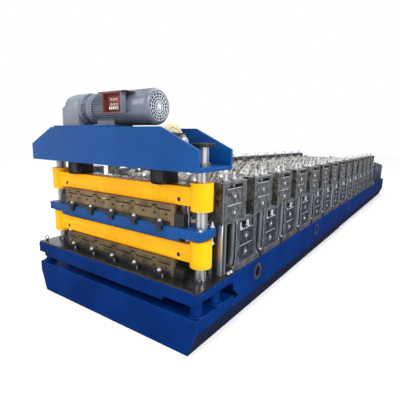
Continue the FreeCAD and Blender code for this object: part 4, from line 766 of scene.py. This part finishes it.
def gear_motor():
    """Gear unit, flange and finned motor."""
    carry("gear_reducer", "reducer_grey", 0.005, segments=3)
    flange = turned("motor_flange_turned", (-0.345, MOTOR_Y, MOTOR_Z), "X",
                    ((0, 0.132), (0.004, 0.137), (0.030, 0.137), (0.034, 0.132), (0.034, 0.112),
                     (0.040, 0.106), (0.085, 0.106), (0.092, 0.112), (0.098, 0.128), (0.102, 0.131),
                     (0.130, 0.131), (0.134, 0.127)), 48)
    fit(flange, "motor_grey", nodes=("motor_flange",))
    bolt = turned("flange_bolts", (-0.311, MOTOR_Y, MOTOR_Z + 0.122), "X",
                  ((0, 0.009), (0.008, 0.009), (0.010, 0.007)), 6)
    fit(ringed(bolt, 10, (-0.311, MOTOR_Y, MOTOR_Z), "X"), "ground_steel")
    core = turned("motor_core", (-0.211, MOTOR_Y, MOTOR_Z), "X",
                  ((0, 0.124), (0.022, 0.124), (0.026, 0.110), (0.286, 0.110), (0.290, 0.124),
                   (0.316, 0.124)), 48)
    fin = block("motor_fins", (-0.190, MOTOR_Y - 0.0022, MOTOR_Z + 0.105),
                (0.082, MOTOR_Y + 0.0022, MOTOR_Z + 0.126), 0.0008)
    fins = ringed(fin, 44, (0, MOTOR_Y, MOTOR_Z), "X")
    foot = block("motor_feet", (-0.190, MOTOR_Y - 0.100, 1.5905), (0.060, MOTOR_Y + 0.100, 1.604), 0.003)
    shanks = [block("motor_shank", (-0.170, y - 0.010, 1.600), (0.040, y + 0.010, 1.650), 0.003)
              for y in (MOTOR_Y - 0.070, MOTOR_Y + 0.070)]
    fit(joined("motor_body_finned", core, fins, foot, *shanks), "motor_grey", nodes=("motor_body",))


def fan_cowl():
    """The cowl with its grille of bars and rings over the dark fan."""
    start = 0.105
    face = start + 0.332
    cowl = turned("fan_cowl_turned", (start, MOTOR_Y, MOTOR_Z), "X",
                  ((-0.012, 0.1275), (-0.010, 0.1310), (0.004, 0.1325), (0.285, 0.1325), (0.300, 0.1315),
                   (0.315, 0.127), (0.326, 0.118), (0.331, 0.108), (0.332, 0.100), (0.322, 0.099),
                   (0.320, 0.095)), 64)
    fit(cowl, "motor_grey", nodes=("fan_cowl",))
    slots = turned("cowl_dark", (start + 0.318, MOTOR_Y, MOTOR_Z), "X", ((0, 0.098), (0.003, 0.098)), 48)
    fit(slots, "bearing_black")
    bar = block("cowl_bars", (face - 0.005, MOTOR_Y - 0.0020, MOTOR_Z + 0.018),
                (face - 0.001, MOTOR_Y + 0.0020, MOTOR_Z + 0.100), 0.0)
    bars = ringed(bar, 18, (face, MOTOR_Y, MOTOR_Z), "X")
    rings = [wire_ring(radius, 0.0028, (40, 6), (face - 0.003, MOTOR_Y, MOTOR_Z), TURNS["X"])
             for radius in (0.040, 0.061, 0.081, 0.099)]
    boss = block("cowl_boss", (face - 0.007, MOTOR_Y - 0.017, MOTOR_Z - 0.017),
                 (face + 0.001, MOTOR_Y + 0.017, MOTOR_Z + 0.017), 0.002)
    fit(joined("cowl_grille", bars, *rings, boss), "motor_grey", look="grille_grey")


def terminal_box():
    """The open box with its board, studs, seats, links and sleeves, and the cover plate."""
    front, back = TABLE_FRONT + 0.015, TABLE_FRONT + 0.068
    shell = block("terminal_box_open", (0.034, front, 1.676), (0.235, back, 1.827), 0)
    only(shell)
    bpy.ops.object.mode_set(mode="EDIT")
    bpy.ops.mesh.select_all(action="DESELECT")
    bpy.ops.object.mode_set(mode="OBJECT")
    for face in shell.data.polygons:
        face.select = face.normal.y < -0.9
    bpy.ops.object.mode_set(mode="EDIT")
    bpy.ops.mesh.select_mode(type="FACE")
    bpy.ops.mesh.inset(thickness=0.008)
    bpy.ops.mesh.extrude_region_move(TRANSFORM_OT_translate={"value": (0, 0.042, 0)})
    bpy.ops.object.mode_set(mode="OBJECT")
    soften(shell, EDGE_SOFTENING)
    fit(shell, "terminal_red", nodes=("terminal_box",))
    repaint(shell, "motor_grey", lambda face: (
        face.center.x > 0.2335 or face.center.x < 0.0355 or face.center.z > 1.8255
        or face.center.z < 1.6775 or face.center.y > back - 0.0015))
    neck = block("terminal_neck", (0.070, back - 0.002, 1.700), (0.200, back + 0.060, 1.800), 0.004)
    fit(neck, "motor_grey")
    board = block("terminal_board", (0.070, back - 0.022, 1.700), (0.198, back - 0.010, 1.800), 0.002)
    fit(board, "terminal_red")
    places = [(0.106 + 0.030 * column, back - 0.022, 1.740 + 0.036 * line)
              for column in range(3) for line in range(2)]
    stud = turned("terminal_studs", (0, 0, 0), "Y",
                  ((-0.019, 0.003), (-0.018, 0.0045), (-0.006, 0.0045), (0, 0.0045)), 10)
    fit(spread(stud, places), "ground_steel", look="brass")
    seat = turned("terminal_seats", (0, 0, 0), "Y", ((-0.009, 0.007), (-0.008, 0.009), (0, 0.009)), 14)
    fit(spread(seat, places), "hub_white")
    link = block("terminal_links", (0.103, back - 0.035, 0), (0.169, back - 0.033, 0.006), 0.0006)
    fit(spread(link, [(0, 0, 1.737), (0, 0, 1.773)]), "ground_steel", look="brass")
    lug = turned("terminal_sleeves", (0, 0, 0), "Z",
                 ((-0.024, 0.003), (-0.022, 0.005), (-0.004, 0.005), (0.000, 0.003)), 10)
    places = [(0.092 + 0.022 * column, back - 0.030, 1.726) for column in range(5)]
    fit(spread(lug, places), "hub_white")
    carry("motor_cover_plate", "cover_grey", 0.001)


# Infeed

def infeed():
    """Side plates, tables and rollers where the flat sheet comes in."""
    for side in ("right", "left"):
        carry("infeed_side_" + side, "infeed_steel", 0.0025)
    carry("infeed_tables", "ground_steel", 0.001)
    carry("infeed_rollers", "roll_steel", 0.001)


base()
lifting_holes()
stands()
chock_details()
adjusting_screws()
stand_bolts()
rolls()
shear_table()
columns()
shear_frame()
knives()
ram()
crank_drive()
gear_motor()
fan_cowl()
terminal_box()
infeed()


# Studio

def lamp(name, place, target, size, power):
    """A white area lamp aimed at its target."""
    light = bpy.data.lights.new(name, "AREA")
    light.shape = "RECTANGLE"
    light.size, light.size_y = size
    light.energy = power
    holder = bpy.data.objects.new(name, light)
    holder.location = place
    holder.rotation_euler = (Vector(target) - Vector(place)).to_track_quat("-Z", "Y").to_euler()
    bpy.context.collection.objects.link(holder)


def pale_floor():
    """A pale floor, which steel reflects as dark under the machine and white ahead of it."""
    bpy.ops.object.select_all(action="DESELECT")
    bpy.ops.mesh.primitive_plane_add(size=80, location=(0, 0, 0))
    floor = bpy.context.object
    floor.name = "floor"
    pale = finish("floor_pale", (236, 236, 236), (230, 230, 231), 0, (0.55, 0.75), 0.6, 0.02)
    pale.node_tree.nodes["Principled BSDF"].inputs["Emission Color"].default_value = (1, 1, 1, 1)
    pale.node_tree.nodes["Principled BSDF"].inputs["Emission Strength"].default_value = 0.30
    nodes, links = pale.node_tree.nodes, pale.node_tree.links
    # Painted shade in reflections: glossy rays see the floor as a glow, dim under the machine and full ahead
    # of it.
    seen = nodes.new("ShaderNodeLightPath")
    spot = nodes.new("ShaderNodeTexCoord")
    split = nodes.new("ShaderNodeSeparateXYZ")
    links.new(spot.outputs["Object"], split.inputs["Vector"])
    ahead = nodes.new("ShaderNodeMapRange")
    ahead.inputs["From Min"].default_value = -4.6
    ahead.inputs["From Max"].default_value = -6.2
    ahead.inputs["To Min"].default_value = 0.09
    ahead.inputs["To Max"].default_value = 1.0
    links.new(split.outputs["Y"], ahead.inputs["Value"])
    shaded_floor_reflection = nodes.new("ShaderNodeEmission")
    links.new(ahead.outputs["Result"], shaded_floor_reflection.inputs["Strength"])
    choice = nodes.new("ShaderNodeMixShader")
    links.new(seen.outputs["Is Glossy Ray"], choice.inputs["Fac"])
    links.new(nodes["Principled BSDF"].outputs["BSDF"], choice.inputs[1])
    links.new(shaded_floor_reflection.outputs["Emission"], choice.inputs[2])
    links.new(choice.outputs["Shader"], nodes["Material Output"].inputs["Surface"])
    floor.data.materials.append(pale)


def hall():
    """White for the camera, a soft sky as light, and a mottled workshop in reflections."""
    world = bpy.data.worlds.new("studio")
    bpy.context.scene.world = world
    world.use_nodes = True
    nodes, links = world.node_tree.nodes, world.node_tree.links
    nodes.clear()
    output = nodes.new("ShaderNodeOutputWorld")
    rays = nodes.new("ShaderNodeLightPath")
    where = nodes.new("ShaderNodeTexCoord")

    def along_direction(direction):
        """0 away from the direction to 1 straight at it."""
        dot = nodes.new("ShaderNodeVectorMath")
        dot.operation = "DOT_PRODUCT"
        dot.inputs[1].default_value = direction
        links.new(where.outputs["Generated"], dot.inputs[0])
        half = nodes.new("ShaderNodeMapRange")
        half.inputs["From Min"].default_value = -1
        half.inputs["From Max"].default_value = 1
        links.new(dot.outputs["Value"], half.inputs["Value"])
        return half.outputs["Result"]

    def sky(direction, steps, strength):
        """A background that brightens towards the direction."""
        ramp = nodes.new("ShaderNodeValToRGB")
        ends = ramp.color_ramp.elements
        ends[0].position, ends[1].position = steps[0][0], steps[-1][0]
        ends[0].color = (steps[0][1],) * 3 + (1,)
        ends[1].color = (steps[-1][1],) * 3 + (1,)
        for position, value in steps[1:-1]:
            ends.new(position).color = (value, value, value, 1)
        links.new(along_direction(direction), ramp.inputs["Fac"])
        light = nodes.new("ShaderNodeBackground")
        light.inputs["Strength"].default_value = strength
        links.new(ramp.outputs["Color"], light.inputs["Color"])
        return light.outputs["Background"]

    soft = sky((0.70, -0.20, 0.68), ((0.0, 0.30), (0.45, 0.55), (0.75, 0.95), (1.0, 1.0)), 1.0)
    blotches = nodes.new("ShaderNodeTexNoise")
    blotches.inputs["Scale"].default_value = 2.6
    blotches.inputs["Detail"].default_value = 2
    squeeze = nodes.new("ShaderNodeMapping")
    squeeze.inputs["Scale"].default_value = (1.3, 1.3, 0.5)
    links.new(where.outputs["Generated"], squeeze.inputs["Vector"])
    links.new(squeeze.outputs["Vector"], blotches.inputs["Vector"])
    walls = nodes.new("ShaderNodeValToRGB")
    walls.color_ramp.elements[0].position, walls.color_ramp.elements[0].color = 0.44, (0.10, 0.11, 0.12, 1)
    walls.color_ramp.elements[1].position, walls.color_ramp.elements[1].color = 0.60, (1, 1, 1, 1)
    links.new(blotches.outputs["Fac"], walls.inputs["Fac"])
    workshop = nodes.new("ShaderNodeBackground")
    workshop.inputs["Strength"].default_value = 1.25
    links.new(walls.outputs["Color"], workshop.inputs["Color"])
    white = nodes.new("ShaderNodeBackground")
    white.inputs["Color"].default_value = (1, 1, 1, 1)
    seen = soft
    for ray, background in (("Is Glossy Ray", workshop), ("Is Camera Ray", white)):
        mix = nodes.new("ShaderNodeMixShader")
        links.new(rays.outputs[ray], mix.inputs["Fac"])
        links.new(seen, mix.inputs[1])
        links.new(background.outputs["Background"], mix.inputs[2])
        seen = mix.outputs["Shader"]
    links.new(seen, output.inputs["Surface"])


def lamps():
    """Key from the right, a broad top light, and two weak ones on the shear's front."""
    lamp("key", (7.5, -6.5, 6.0), (0.3, -2.5, 0.8), (4, 4), 480)
    lamp("top", (0.5, -1.0, 8.0), (0, -1.0, 0), (9, 5), 330)
    lamp("front", (-3.5, -9.5, 4.5), (-0.2, -4.6, 1.5), (3, 3), 145)
    lamp("left", (-7.5, -8.2, 2.2), (-0.6, -4.75, 1.45), (4, 2.4), 20)


def photo_camera():
    """The camera at the photograph's place, solved from its vanishing lines."""
    yaw, pitch, roll = radians(34.833), radians(10.3286), radians(-1.1573)
    ahead = Vector((-sin(yaw) * cos(pitch), cos(yaw) * cos(pitch), -sin(pitch)))
    level = Vector((cos(yaw), sin(yaw), 0))
    down = ahead.cross(level)
    right = cos(roll) * level + sin(roll) * down
    below = -sin(roll) * level + cos(roll) * down
    lens = bpy.data.cameras.new("photo_camera")
    lens.lens = 30.05
    lens.sensor_width = 36
    lens.clip_end = 200
    camera = bpy.data.objects.new("photo_camera", lens)
    bpy.context.collection.objects.link(camera)
    turn = Matrix((right, -below, -ahead)).transposed().to_4x4()
    camera.matrix_world = Matrix.Translation((2.130, -6.427, 1.500)) @ turn
    bpy.context.scene.camera = camera


pale_floor()
hall()
lamps()
photo_camera()
bpy.context.scene.view_settings.view_transform = "Standard"
